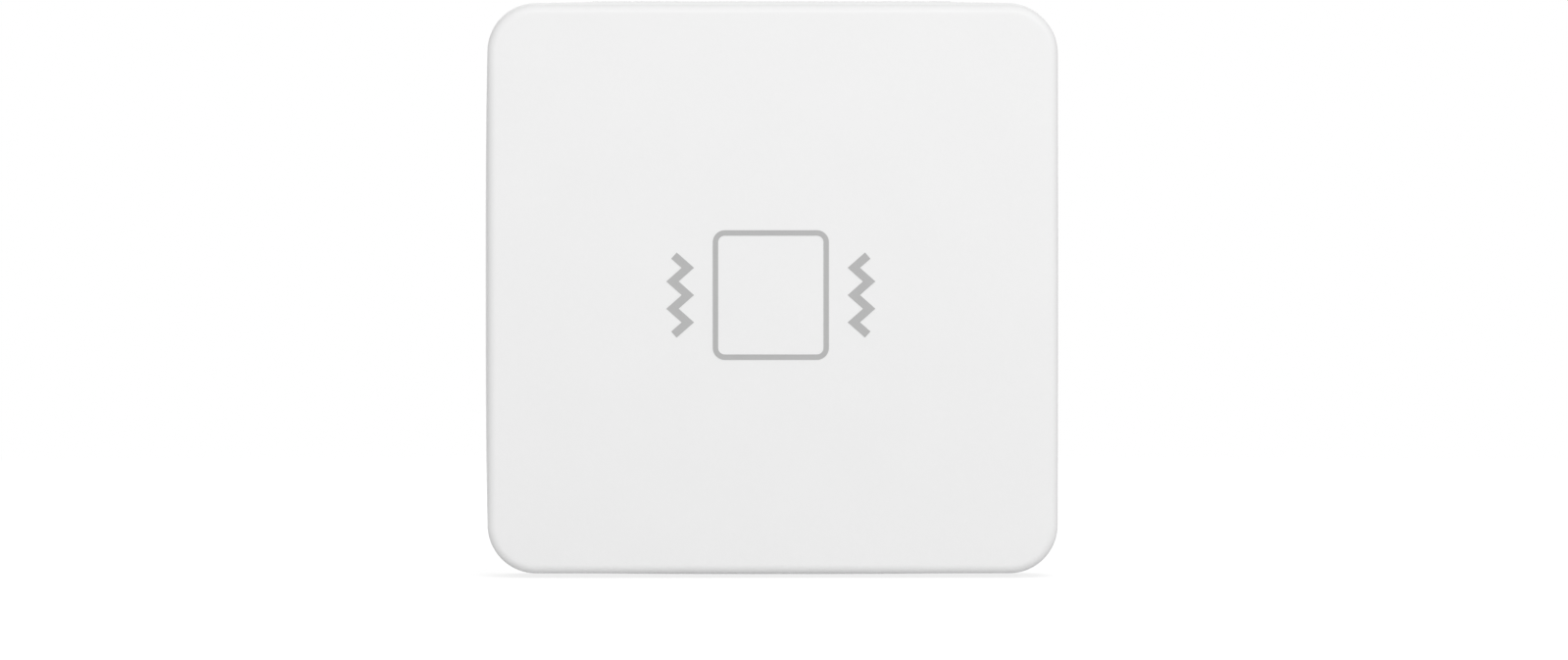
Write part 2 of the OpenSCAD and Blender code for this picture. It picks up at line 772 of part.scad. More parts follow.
module series_spring() {
    color(nickel) upright() translate([left_x, -bay_len / 2 + contact_t, cell_z])
        rotate([-90, 0, 0]) conical_spring();
}

module circuit_board() {
    color("darkgreen") upright() difference() {
        translate([0, 0, board_z]) linear_extrude(board_t) difference() {
            square(2 * board_half, center = true);
            for (c = corners) translate(c * (board_notch + board_half)) square(2 * board_half, center = true);
        }
        for (side = [-1, 1])
            peg([side * post_x, 0], board_screw_d + 2 * board_hole_gap, board_z - over, board_front + over);
        for (x = [left_x, right_x]) tab_slot(x, board_z - over, board_front + over);
    }
}

// The antenna runs back and forth along the lower edge of the board
module antenna_trace() {
    low = -board_half + antenna_inset + antenna_line / 2;
    start = -(antenna_turns - 1) * antenna_pitch / 2;
    runs = [for (i = [0:antenna_turns - 1], end = [0, 1])
        [start + i * antenna_pitch, low + ((i + end) % 2) * (antenna_h - antenna_line)]];
    color("goldenrod") upright() translate([0, 0, board_front])
        linear_extrude(antenna_t) stroke(runs, antenna_line);
}

module radio_chip() {
    color(dark) upright() chip(radio_at, radio_size, radio_size, board_front, radio_h);
}

module shield_can() {
    color(steel) upright() difference() {
        chip(radio_at, can_w, can_l, board_front, can_h);
        chip(radio_at, can_w - 2 * can_t, can_l - 2 * can_t, board_front - over, can_h - can_t + over);
    }
}

module accelerometer() {
    color(dark) upright() chip(accel_at, accel_size, accel_size, board_front, accel_h);
}

module power_chip() {
    color(dark) upright() chip(power_at, power_w, power_l, board_front, power_h);
}

module crystal() {
    color(steel) upright() chip(crystal_at, crystal_w, crystal_l, board_front, crystal_h);
}

module chip_capacitors() {
    color("tan") upright() for (i = [0:cap_count - 1])
        chip(caps_at + [0, i * chip_pitch], chip_len, chip_w, board_front, cap_h);
}

module chip_resistors() {
    color(dark) upright() for (i = [0:resistor_count - 1])
        chip(resistors_at + [i * chip_pitch, 0], chip_w, chip_len, board_front, resistor_h);
}

module bulk_capacitor() {
    color("goldenrod") upright() chip(bulk_at, bulk_w, bulk_l, board_z - bulk_h, bulk_h);
}

module status_led() {
    color("ivory") upright() chip(led_at, led_w, led_l, board_front, led_h);
}

module pair_switch_body() {
    color(dark) upright() difference() {
        chip([well_x, pair_y], pair_size, pair_size, pair_z, pair_h);
        peg([well_x, pair_y], collar_d + 2 * control_gap,
            pair_z - over, pair_z + collar_h + press + 2 * press_play);
    }
}

module pair_switch_cover() {
    color(steel) upright() difference() {
        chip([well_x, pair_y], pair_size, pair_size, pair_z - cover_t, cover_t);
        peg([well_x, pair_y], stem_d + 2 * control_gap, pair_z - cover_t - over, pair_z + over);
    }
}

// Two legs on each side of a switch of width w, bent flat on the back of the board
module legs(at, w) {
    for (c = corners) translate([at[0], at[1] + c[1] * leg_pitch / 2, 0]) mirror([c[0] > 0 ? 0 : 1, 0, 0]) {
        range_box([w / 2, w / 2 + leg_t], around(0, leg_w), [board_z - leg_h, board_z]);
        range_box([w / 2, w / 2 + leg_foot], around(0, leg_w), [board_z - leg_t, board_z]);
    }
}

module pair_switch_legs() {
    color(steel) upright() legs([well_x, pair_y], pair_size);
}

module pair_button() {
    color(dark) upright() {
        peg([well_x, pair_y], stem_d, control_end, pair_z + press_play + collar_h);
        peg([well_x, pair_y], collar_d, pair_z + press_play, pair_z + press_play + collar_h);
    }
}

module slide_switch_base() {
    color(dark) upright() chip([well_x, slider_y], slide_w, slide_len, slide_z, slide_base_t);
}

module slide_switch_shell() {
    color(steel) upright() difference() {
        chip([well_x, slider_y], slide_w, slide_len, shell_z, slide_shell_h);
        chip([well_x, slider_y], slide_w - 2 * shell_t, slide_len - 2 * shell_t,
            shell_z + shell_t, slide_shell_h);
        chip([well_x, slider_y], lever_w + 2 * control_gap, lever_len + 2 * slide_step + 2 * control_gap,
            shell_z - over, shell_t + 2 * over);
    }
}

module slide_switch_legs() {
    color(steel) upright() legs([well_x, slider_y], slide_w);
}

module sensitivity_slider() {
    color(dark) upright() {
        chip([well_x, slider_y], carriage_w, carriage_len,
            carriage_z, slide_shell_h - shell_t - 2 * carriage_play);
        chip([well_x, slider_y], lever_w, lever_len, control_end, carriage_z + carriage_play - control_end);
    }
}

// A screw whose head stands on z = 0 and whose shank points up
module screw(head, height, d, length) {
    difference() {
        union() {
            translate([0, 0, -height]) cylinder(h = height, d = head);
            translate([0, 0, -height / 2]) cylinder(h = length - d / 2 + height / 2, d = d);
            translate([0, 0, length - d / 2]) cylinder(h = d / 2, d1 = d, d2 = d / 4);
        }
        for (turn = [0, 90]) rotate(turn)
            translate([-cross_len / 2, -cross_w / 2, -height - over])
                cube([cross_len, cross_w, cross_depth + over]);
    }
}

module case_screws() {
    color(steel) upright() for (c = corners)
        translate([c[0] * screw_at, c[1] * screw_at, seat_z]) screw(head_d, head_h, screw_d, screw_len);
}

module board_screws() {
    color(steel) upright() for (side = [-1, 1]) translate([side * post_x, 0, board_front])
        mirror([0, 0, 1]) screw(board_head_d, board_head_h, board_screw_d, board_screw_len);
}

front_shell();
printed_symbol();
rear_housing();
battery_door();
adhesive_strips();
cell_left();
cell_right();
wrap_left();
wrap_right();
positive_contact();
negative_contact();
series_contact();
negative_spring();
series_spring();
circuit_board();
antenna_trace();
radio_chip();
shield_can();
accelerometer();
power_chip();
crystal();
chip_capacitors();
chip_resistors();
bulk_capacitor();
status_led();
pair_switch_body();
pair_switch_cover();
pair_switch_legs();
pair_button();
slide_switch_base();
slide_switch_shell();
slide_switch_legs();
sensitivity_slider();
case_screws();
board_screws();
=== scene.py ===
# %% [markdown]
# # A stick-on vibration sensor tag
# This lesson dresses a finished CAD model for a picture. The tag is a square white plastic case with a grey
# vibration symbol on its face, and behind that face sit two cells, a circuit board, a push switch and a
# slide switch. The CAD model already has every piece at its true size, so it is loaded first as a frame, and
# each piece made here takes its place from that frame.

# %% Load the frame
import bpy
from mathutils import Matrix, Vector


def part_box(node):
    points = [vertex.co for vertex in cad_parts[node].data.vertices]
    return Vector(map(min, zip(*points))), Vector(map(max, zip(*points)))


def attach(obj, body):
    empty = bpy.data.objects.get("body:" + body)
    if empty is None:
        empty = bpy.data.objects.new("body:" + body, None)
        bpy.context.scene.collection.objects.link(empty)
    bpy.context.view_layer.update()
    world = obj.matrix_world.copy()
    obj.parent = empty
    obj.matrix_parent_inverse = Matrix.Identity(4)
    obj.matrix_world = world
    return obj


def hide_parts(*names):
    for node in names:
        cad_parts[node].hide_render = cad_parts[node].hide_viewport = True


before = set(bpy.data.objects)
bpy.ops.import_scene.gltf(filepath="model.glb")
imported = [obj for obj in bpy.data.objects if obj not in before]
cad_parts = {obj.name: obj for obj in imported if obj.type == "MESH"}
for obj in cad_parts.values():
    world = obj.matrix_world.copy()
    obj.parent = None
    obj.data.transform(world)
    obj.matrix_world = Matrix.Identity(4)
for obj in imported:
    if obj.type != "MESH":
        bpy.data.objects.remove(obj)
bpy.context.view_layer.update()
print(len(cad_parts), "CAD nodes")

# %% [markdown]
# ## Working sizes
# The CAD drawing has the tag lying on its back: x to the right, y up the face and z from the back to the
# front, in millimetres. The model stands upright in metres. A short function turns one into the other, so
# that the sizes below read like the ones on a drawing.

# %% Sizes read from the frame
import math

import bmesh
import bpy
from mathutils import Vector

MM = 0.001
TINY = 0.01 * MM

cover_low, cover_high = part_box("front_shell")
half = (cover_high.x - cover_low.x) / 2
middle_z = (cover_high.z + cover_low.z) / 2
front_y = cover_low.y
parting_y = cover_high.y
back_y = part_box("rear_housing")[1].y


def depth(z):
    """The place along Y of a drawing height z, in mm from the back plane."""
    return back_y - z * MM


def place(x, y, z):
    """A point of the drawing, in mm, as a point of the upright model."""
    return Vector((x * MM, depth(z), middle_z + y * MM))


print("case", round(2 * half / MM, 2), "mm square, parting line at y =", round(parting_y / MM, 2))

# %% [markdown]
# ## Tools for modelling in code
# An operator works on whatever is selected, so each piece starts with nothing selected. Faces, edges and
# points are then picked by a test on where they are, which does the job of clicking on them. Three small
# values say how close is close enough: TINY for a place, FLAT for a face that looks along an axis, and MERGE
# for two points that become one.

# %% Start a piece


def begin(name, add, **how):
    """Adds one primitive, writes its place into its mesh and opens it in edit mode."""
    bpy.ops.object.select_all(action="DESELECT")
    add(**how)
    piece = bpy.context.object
    piece.name = name
    bpy.ops.object.transform_apply(location=True, rotation=True, scale=True)
    bpy.ops.object.mode_set(mode="EDIT")
    return piece


# %% Pick faces, edges and points
FLAT = 0.999


def pick(kind, test):
    """Selects the faces, edges or points of the open piece that pass a test."""
    bpy.ops.mesh.select_mode(type=kind)
    bpy.ops.mesh.select_all(action="DESELECT")
    mesh = bpy.context.object.data
    shape = bmesh.from_edit_mesh(mesh)
    group = {"FACE": shape.faces, "EDGE": shape.edges, "VERT": shape.verts}[kind]
    for item in group:
        if test(item):
            item.select_set(True)
    shape.select_flush_mode()
    bmesh.update_edit_mesh(mesh)


def pick_faces(test):
    pick("FACE", lambda face: test(face.calc_center_median(), face.normal))


def pick_edges(test):
    pick("EDGE", lambda edge: test(edge.verts[0].co, edge.verts[1].co))


def pick_all():
    bpy.ops.mesh.select_all(action="SELECT")


# %% Shape what is picked


def move_points(change):
    """Moves each selected point of the open piece to where a function puts it."""
    mesh = bpy.context.object.data
    shape = bmesh.from_edit_mesh(mesh)
    for point in shape.verts:
        if point.select:
            point.co = change(point.co)
    bmesh.update_edit_mesh(mesh)


def push(x=0, y=0, z=0):
    """Extrudes what is selected by a distance along each axis."""
    bpy.ops.mesh.extrude_region_move(TRANSFORM_OT_translate={"value": (x, y, z)})


def round_edges(radius, steps):
    """Rounds the selected edges."""
    bpy.ops.mesh.bevel(offset=radius, segments=steps, profile=0.5, affect="EDGES")


# %% Close a piece
MERGE = 0.001 * MM


def close(piece):
    """Merges doubled points, turns all faces outwards and leaves edit mode."""
    pick_all()
    bpy.ops.mesh.remove_doubles(threshold=MERGE)
    bpy.ops.mesh.normals_make_consistent(inside=False)
    bpy.ops.object.mode_set(mode="OBJECT")
    return piece


def report(piece):
    print(piece.name, len(piece.data.polygons), "faces")


# %% [markdown]
# ## The front cover
# The cover is a shallow moulded tray. Seen from straight ahead its sides bow out slightly, its corners are
# round, its walls lean in a little towards the face so that it comes out of its mould, and its front edge
# has a small round. A cube with bevels would have straight sides, so it starts as a flat outline: the
# corners are rounded first, the sides are divided and bowed, and the outline is then pulled forward.

# %% The outline of the case
corner_r = 5.1 * MM
bow_depth = 0.19 * MM
corner_steps = 24
side_steps = 24


def bow(along):
    """How far a side has fallen back at a distance from its middle."""
    share = min(abs(along) / (half - corner_r), 1)
    return bow_depth / half * share ** 3


def bowed(point, share=1):
    """A point of the straight outline, moved onto the bowed one."""
    up = point.z - middle_z
    return Vector((point.x * (1 - share * bow(up)), point.y, middle_z + up * (1 - share * bow(point.x))))


cover = begin("front_cover", bpy.ops.mesh.primitive_plane_add, size=2 * half,
              location=(0, parting_y, middle_z), rotation=(math.pi / 2, 0, 0))
bpy.ops.mesh.bevel(offset=corner_r, segments=corner_steps, profile=0.5, affect="VERTICES")
pick_edges(lambda a, b: (a - b).length > half)
bpy.ops.mesh.subdivide(number_cuts=side_steps)
print("outline of", len(bmesh.from_edit_mesh(cover.data).verts), "points")

# %% Pull the outline forward, lean the walls and round the front edge
lean_side = 0.28 * MM
lean_top = 0.40 * MM
front_edge_r = 0.85 * MM
seam_edge_r = 0.12 * MM
edge_steps = 10


def leaned(point):
    """Bowed at the parting line, straight and a little smaller at the front."""
    forward = (parting_y - point.y) / (parting_y - front_y)
    at = bowed(point, 1 - forward)
    narrower = 1 - lean_side / half * forward
    lower = 1 - lean_top / half * forward
    return Vector((at.x * narrower, at.y, middle_z + (at.z - middle_z) * lower))


pick_all()
push(y=front_y - parting_y)
pick_all()
move_points(leaned)
bpy.ops.mesh.normals_make_consistent(inside=False)
pick_edges(lambda a, b: max(a.y, b.y) < front_y + TINY)
round_edges(front_edge_r, steps=edge_steps)
pick_edges(lambda a, b: min(a.y, b.y) > parting_y - TINY)
round_edges(seam_edge_r, steps=3)
print("cover of", len(bmesh.from_edit_mesh(cover.data).faces), "faces so far")

# %% Hollow it out, with a step that takes the tray's lip
wall = 1.8 * MM
step_w = 0.9 * MM
step_h = 1.6 * MM
front_in = 16.5
face_rim = 0.15 * MM

pick_faces(lambda middle, normal: normal.y < -FLAT and middle.y < front_y + TINY)
bpy.ops.mesh.inset(thickness=face_rim)
pick_faces(lambda middle, normal: normal.y > FLAT and middle.y > parting_y - TINY)
bpy.ops.mesh.inset(thickness=step_w - seam_edge_r)
push(y=-step_h)
bpy.ops.mesh.inset(thickness=wall - step_w)
push(y=depth(front_in) - parting_y + step_h)
close(cover)
report(cover)

# %% [markdown]
# Inside the cover are four screw bosses, four short posts that hold the board down and a tube around the
# status light. They are round bars that are joined to the wall, and the holes are cut out afterwards. A
# Boolean modifier does both. The sizes here are in the drawing's millimetres.

# %% Join a second piece, or cut it out


def make_active(piece):
    bpy.ops.object.select_all(action="DESELECT")
    piece.select_set(True)
    bpy.context.view_layer.objects.active = piece


def apply_modifier(piece, kind, **settings):
    """Adds a modifier, sets it up and applies it."""
    make_active(piece)
    modifier = piece.modifiers.new(kind.lower(), kind)
    for key, value in settings.items():
        setattr(modifier, key, value)
    bpy.ops.object.modifier_apply(modifier=modifier.name)


def combine(piece, tool, operation):
    """Joins a tool to a piece or cuts it out, and deletes the tool."""
    apply_modifier(piece, "BOOLEAN", operation=operation, solver="EXACT", object=tool)
    bpy.data.objects.remove(tool)


def peg(x, y, diameter, z0, z1):
    """A round bar between two drawing heights."""
    tool = begin("peg", bpy.ops.mesh.primitive_cylinder_add, vertices=48, radius=diameter / 2 * MM,
                 depth=(z1 - z0) * MM, location=place(x, y, (z0 + z1) / 2), rotation=(math.pi / 2, 0, 0))
    bpy.ops.object.mode_set(mode="OBJECT")
    return tool


# %% Shade a piece, with or without small rounds
SHARP = 35


def smooth(piece, angle=SHARP):
    """Shades a piece smooth, apart from edges that bend by more than an angle in degrees."""
    make_active(piece)
    bpy.ops.object.shade_smooth_by_angle(angle=math.radians(angle))


def soften(piece, width):
    """Rounds every sharp edge a little and shades the piece by the size of its faces."""
    if width > 0:
        apply_modifier(piece, "BEVEL", width=width, segments=2, limit_method="ANGLE",
                       angle_limit=math.radians(SHARP), miter_outer="MITER_ARC")
    smooth(piece)
    apply_modifier(piece, "WEIGHTED_NORMAL", keep_sharp=True, weight=80)


# %% Bosses, posts and the light well
CORNERS = [(x, y) for x in (-1, 1) for y in (-1, 1)]
screw_at = 24.6
boss_d = 5.2
boss_foot = 10.3
pilot_d = 2.0
pilot_foot = 9.7
pilot_end = 15.5
post_x = 22.975
post_y = 15
post_d = 2.4
board_front = 15.1
light_y = -17.5
tube_d = 6.2
tube_bore_d = 4.4
tube_bore_foot = 14.4
tube_bore_end = 17.5
root_depth = 0.6
root = front_in + root_depth

for x, y in CORNERS:
    combine(cover, peg(x * screw_at, y * screw_at, boss_d, boss_foot, root), "UNION")
    combine(cover, peg(x * screw_at, y * screw_at, pilot_d, pilot_foot, pilot_end), "DIFFERENCE")
    combine(cover, peg(x * post_x, y * post_y, post_d, board_front, root), "UNION")
combine(cover, peg(0, light_y, tube_d, board_front, root), "UNION")
combine(cover, peg(0, light_y, tube_bore_d, tube_bore_foot, tube_bore_end), "DIFFERENCE")
soften(cover, width=0)
report(cover)

# %% [markdown]
# ## The rear tray
# The tray holds the battery bay, the control well, the rails of the door and the screw columns. All of that
# is in the CAD node already, and modelling it again would gain nothing, so a copy of the node is merged into
# whole faces. Its outside is then divided and bowed to follow the cover, and every edge gets the small round
# that a mould leaves.

# %% Copy and merge a CAD node


def copy_piece(piece, name):
    """A copy with its own mesh."""
    twin = piece.copy()
    twin.data = piece.data.copy()
    twin.name = name
    bpy.context.scene.collection.objects.link(twin)
    return twin


def open_copy(node, name):
    """A copy of a CAD node, merged into whole faces and opened in edit mode."""
    piece = copy_piece(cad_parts[node], name)
    piece.parent = None
    for key in list(piece.keys()):
        del piece[key]
    make_active(piece)
    bpy.ops.mesh.customdata_custom_splitnormals_clear()
    bpy.ops.object.mode_set(mode="EDIT")
    pick_all()
    bpy.ops.mesh.remove_doubles(threshold=MERGE)
    bpy.ops.mesh.dissolve_limited(angle_limit=math.radians(0.5))
    pick_all()
    bpy.ops.mesh.vert_connect_concave()
    return piece


# %% Bow the outside of the tray
skin = 1.05 * MM
long_edge = 4 * MM
long_edge_cuts = 10
mould_edge_r = 0.1 * MM


def outside(point):
    """True on the outer skin of the case, inside which the walls stay straight."""
    over_x = abs(point.x) - half + corner_r
    over_z = abs(point.z - middle_z) - half + corner_r
    if min(over_x, over_z) > 0:
        return math.hypot(over_x, over_z) > corner_r - skin
    return max(over_x, over_z) > corner_r - skin


tray = open_copy("rear_housing", "rear_tray")
pick_edges(lambda a, b: outside(a) and outside(b) and (a - b).length > long_edge)
bpy.ops.mesh.subdivide(number_cuts=long_edge_cuts)
pick("VERT", lambda point: outside(point.co))
move_points(bowed)
bpy.ops.object.mode_set(mode="OBJECT")
soften(tray, mould_edge_r)
report(tray)

# %% [markdown]
# ## The battery door
# The door slides in two rails on thin tongues along its edges. It could be a copy of its CAD node as well,
# but grooves with soft ends are easier to cut into a clean plate. The tongues are pulled out of the inner
# half of the plate's thickness, the top edge is rounded like the back edge of the case, and the thumb grip
# and the arrow are cut in.

# %% The plate and its tongues
door_low, door_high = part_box("battery_door")
tongue_w = 1.0 * MM
tongue_t = 0.85 * MM
back_edge_r = 1.0 * MM
door_t = door_high.y - door_low.y
plate_half = door_high.x - tongue_w
plate_low = door_low.z + tongue_w

door = begin("door_panel", bpy.ops.mesh.primitive_cube_add, size=1,
             location=(0, back_y - door_t / 2, (plate_low + door_high.z) / 2),
             scale=(2 * plate_half, door_t, door_high.z - plate_low))
tongue_y = door_low.y + tongue_t
pick_all()
bpy.ops.mesh.bisect(plane_co=(0, tongue_y, 0), plane_no=(0, 1, 0))
pick_faces(lambda middle, normal: middle.y < tongue_y - TINY and abs(normal.y) < 0.5 and normal.z < 0.5)
bpy.ops.mesh.extrude_region_shrink_fatten(
    TRANSFORM_OT_shrink_fatten={"value": tongue_w, "use_even_offset": True})
pick_edges(lambda a, b: min(a.z, b.z) > door_high.z - TINY and min(a.y, b.y) > back_y - TINY)
round_edges(back_edge_r, steps=8)
close(door)
print("door", [round(size / MM, 2) for size in door.dimensions], "mm")

# %% The thumb grip and the arrow
grip_count = 6
grip_len = 14 * MM
grip_w = 0.9 * MM
grip_pitch = 1.8 * MM
grip_depth = 0.35 * MM
groove_end_r = 0.48 * grip_w
groove_foot_r = 0.2 * MM
grip_from_edge = 5 * MM
grip_low = plate_low + grip_from_edge
arrow_w = 6 * MM
arrow_h = 3.4 * MM
arrow_corner_r = 0.35 * MM
arrow_gap = 2 * MM
arrow_low = grip_low + (grip_count - 1) * grip_pitch + grip_w + arrow_gap

for number in range(grip_count):
    groove = begin("groove", bpy.ops.mesh.primitive_cube_add, size=1,
                   location=(0, back_y, grip_low + number * grip_pitch + grip_w / 2),
                   scale=(grip_len, 2 * grip_depth, grip_w))
    pick_edges(lambda a, b: abs(a.y - b.y) > grip_depth)
    round_edges(groove_end_r, steps=8)
    pick_edges(lambda a, b: max(a.y, b.y) < back_y - grip_depth + TINY)
    round_edges(groove_foot_r, steps=3)
    combine(door, close(groove), "DIFFERENCE")

arrow = begin("arrow", bpy.ops.mesh.primitive_cylinder_add, vertices=3, radius=1, depth=2,
              location=(0, back_y, arrow_low + arrow_h / 3), rotation=(math.pi / 2, 0, 0),
              scale=(arrow_w / math.sqrt(3), arrow_h / 1.5, grip_depth))
pick_edges(lambda a, b: abs(a.y - b.y) > grip_depth)
round_edges(arrow_corner_r, steps=4)
combine(door, close(arrow), "DIFFERENCE")
soften(door, mould_edge_r)
report(door)

# %% [markdown]
# ## The adhesive strips
# Two strips of double-sided foam hold the tag on a wall. Foam that is cut from a roll has round corners and
# sides that swell a little between its two films. Foam this thin and stiff needs no simulation: a formula
# swells the sides of a flat outline that is pulled to its thickness. The second strip is a copy.

# %% One strip, and its copy
strip_low, strip_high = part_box("adhesive_strips")
strip_w = 7 * MM
strip_corner_r = 1.2 * MM
strip_swell = 0.06 * MM
strip_edge_r = 0.08 * MM
strip_t = strip_high.y - strip_low.y
strip_x = strip_high.x - strip_w / 2
strip_len = strip_high.z - strip_low.z


def settle(piece):
    """Writes a piece's place and turn into its mesh."""
    make_active(piece)
    bpy.ops.object.transform_apply(location=True, rotation=True, scale=True)


def swollen(point):
    """Pushes the sides of a strip out, most of all half way through its thickness."""
    through = (point.y - strip_low.y) / strip_t
    swell = 4 * through * (1 - through) * strip_swell
    wider = 1 + 2 * swell / strip_w
    longer = 1 + 2 * swell / strip_len
    return Vector((strip_x + (point.x - strip_x) * wider, point.y, middle_z + (point.z - middle_z) * longer))


strip = begin("foam_strip_right", bpy.ops.mesh.primitive_plane_add, size=strip_w,
              location=(strip_x, strip_low.y, middle_z), rotation=(-math.pi / 2, 0, 0))
bpy.ops.transform.resize(value=(1, 1, strip_len / strip_w), center_override=(strip_x, strip_low.y, middle_z))
bpy.ops.mesh.bevel(offset=strip_corner_r, segments=10, profile=0.5, affect="VERTICES")
pick_all()
push(y=strip_t)
pick_edges(lambda a, b: abs(a.y - b.y) > strip_t / 2)
bpy.ops.mesh.subdivide(number_cuts=5)
pick_all()
move_points(swollen)
pick_edges(lambda a, b: min(a.y, b.y) > strip_high.y - TINY)
round_edges(strip_edge_r, steps=2)
close(strip)
soften(strip, width=0)
twin_strip = copy_piece(strip, "foam_strip_left")
twin_strip.location.x = -2 * strip_x
settle(twin_strip)
report(strip)

# %% [markdown]
# ## The cells
# A cell is a drawn steel can. Its positive end has a rim, a sunk sealing washer and a nub, and its negative
# end a shallow ring. A spun profile would give the same shape, but on a cylinder each step is an inset and a
# pull on an end face, which can be changed by itself. The second cell is a copy that is turned over.

# %% The can
can_low, can_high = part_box("cell_left")
can_r = (can_high.x - can_low.x) / 2
can_x = (can_high.x + can_low.x) / 2
can_y = (can_high.y + can_low.y) / 2
nub_h = 1.0 * MM
nub_r = 1.8 * MM
can_edge_r = 0.4 * MM
nub_edge_r = 0.25 * MM
rim_w = 0.5 * MM
washer_w = 1.0 * MM
washer_depth = 0.3 * MM
ring_depth = 0.25 * MM
shoulder = can_high.z - nub_h

can = begin("cell_can_left", bpy.ops.mesh.primitive_cylinder_add, vertices=64, radius=can_r,
            depth=shoulder - can_low.z, location=(can_x, can_y, (shoulder + can_low.z) / 2))
pick_edges(lambda a, b: abs(a.z - b.z) < TINY)
round_edges(can_edge_r, steps=4)
pick_faces(lambda middle, normal: normal.z > FLAT and middle.z > shoulder - TINY)
bpy.ops.mesh.inset(thickness=rim_w)
push(z=-washer_depth)
bpy.ops.mesh.inset(thickness=washer_w)
push(z=washer_depth)
bpy.ops.mesh.inset(thickness=can_r - can_edge_r - rim_w - washer_w - nub_r)
push(z=nub_h)
pick_edges(lambda a, b: min(a.z, b.z) > can_high.z - TINY)
round_edges(nub_edge_r, steps=4)
pick_faces(lambda middle, normal: normal.z < -FLAT and middle.z < can_low.z + TINY)
bpy.ops.mesh.inset(thickness=rim_w)
push(z=ring_depth)
bpy.ops.mesh.inset(thickness=rim_w)
push(z=-ring_depth)
close(can)
smooth(can, angle=40)
report(can)

# %% [markdown]
# The printed sleeve is a film that is shrunk over the can. A closed cylinder would hide the ends of the can,
# so it is an open tube whose ends follow the round of the can's edges, and a Solidify modifier gives it the
# thickness of the film.

# %% The sleeve
sleeve_low, sleeve_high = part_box("wrap_left")
sleeve_r = (sleeve_high.x - sleeve_low.x) / 2
film_t = 0.13 * MM
fold_r = sleeve_r - can_r + can_edge_r
fold_steps = 4
fold_angle = math.radians(70)
tube_low = can_low.z + can_edge_r
tube_high = shoulder - can_edge_r

sleeve = begin("cell_sleeve_left", bpy.ops.mesh.primitive_cylinder_add, vertices=96, radius=sleeve_r,
               depth=tube_high - tube_low, end_fill_type="NOTHING",
               location=(can_x, can_y, (tube_low + tube_high) / 2))
for end, way in ((tube_high, 1), (tube_low, -1)):
    ring_z, ring_r = end, sleeve_r
    pick_edges(lambda a, b: max(abs(a.z - end), abs(b.z - end)) < TINY)
    for step in range(1, fold_steps + 1):
        turn = fold_angle * step / fold_steps
        next_z = end + way * fold_r * math.sin(turn)
        next_r = sleeve_r - fold_r * (1 - math.cos(turn))
        push(z=next_z - ring_z)
        shrink = next_r / ring_r
        bpy.ops.transform.resize(value=(shrink, shrink, 1), center_override=(can_x, can_y, next_z))
        ring_z, ring_r = next_z, next_r
close(sleeve)
apply_modifier(sleeve, "SOLIDIFY", thickness=film_t, offset=-1)
smooth(sleeve, angle=40)
report(sleeve)

# %% Turn a copy of both over for the second cell
twin_low, twin_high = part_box("cell_right")
can_middle = Vector((can_x, can_y, (can_low.z + can_high.z) / 2))
twin_middle = (twin_low + twin_high) / 2


def turn_over(piece, name):
    """A copy that lies where the second cell is, with its positive end down."""
    twin = copy_piece(piece, name)
    twin.rotation_euler.x = math.pi
    twin.location = twin_middle + Vector((-can_middle.x, can_middle.y, can_middle.z))
    settle(twin)
    return twin


twin_can = turn_over(can, "cell_can_right")
twin_sleeve = turn_over(sleeve, "cell_sleeve_right")
print("second cell spans", [round(corner[2] / MM, 2) for corner in twin_can.bound_box][:2], "mm in height")

# %% [markdown]
# ## The contact springs
# A contact spring is a cone of round wire with a flat coil at each end. A Screw modifier winds an even coil,
# but not a cone with flat ends, so a curve is the better start: its points come from a formula, its bevel
# gives the wire, and it is then made a mesh.

# %% Wire along a row of points


def wire(name, points, radius, roundness):
    """A mesh of wire that follows a row of points."""
    curve = bpy.data.curves.new(name, "CURVE")
    curve.dimensions = "3D"
    curve.bevel_depth = radius
    curve.bevel_resolution = roundness
    curve.use_fill_caps = True
    line = curve.splines.new("POLY")
    line.points.add(len(points) - 1)
    for knot, point in zip(line.points, points):
        knot.co = (*point, 1)
    piece = bpy.data.objects.new(name, curve)
    bpy.context.scene.collection.objects.link(piece)
    make_active(piece)
    bpy.ops.object.convert(target="MESH")
    bpy.ops.object.mode_set(mode="EDIT")
    return close(piece)


# %% Wind a spring
wire_d = 0.5 * MM
wire_gap = 0.03 * MM
spring_base_r = 3.25 * MM
spring_tip_r = 1.95 * MM
flat_turns = 0.75
cone_turns = 2.25
points_per_turn = 40


def eased(value):
    """A smooth step from 0 to 1."""
    value = min(max(value, 0), 1)
    return value * value * (3 - 2 * value)


def wind_spring(name, x, y, base_z, tip_z):
    """A conical spring from a contact plate at base_z to a cell at tip_z."""
    way = 1 if tip_z > base_z else -1
    start = base_z + way * (wire_d / 2 + wire_gap)
    rise = tip_z - base_z - way * (wire_d + 2 * wire_gap)
    turns = cone_turns + 2 * flat_turns
    count = round(turns * points_per_turn)
    points = []
    for number in range(count + 1):
        turn = turns * number / count
        climb = eased((turn - flat_turns) / cone_turns)
        radius = spring_base_r + (spring_tip_r - spring_base_r) * climb
        angle = 2 * math.pi * turn
        points.append((x + radius * math.cos(angle), y + radius * math.sin(angle), start + rise * climb))
    piece = wire(name, points, radius=wire_d / 2, roundness=3)
    smooth(piece, angle=50)
    report(piece)
    return piece


plate_t = 0.3 * MM
upper_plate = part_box("negative_contact")[1].z - plate_t
lower_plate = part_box("series_contact")[0].z + plate_t
upper_spring = wind_spring("spring_upper", twin_middle.x, can_y, upper_plate, twin_high.z)
lower_spring = wind_spring("spring_lower", can_x, can_y, lower_plate, can_low.z)

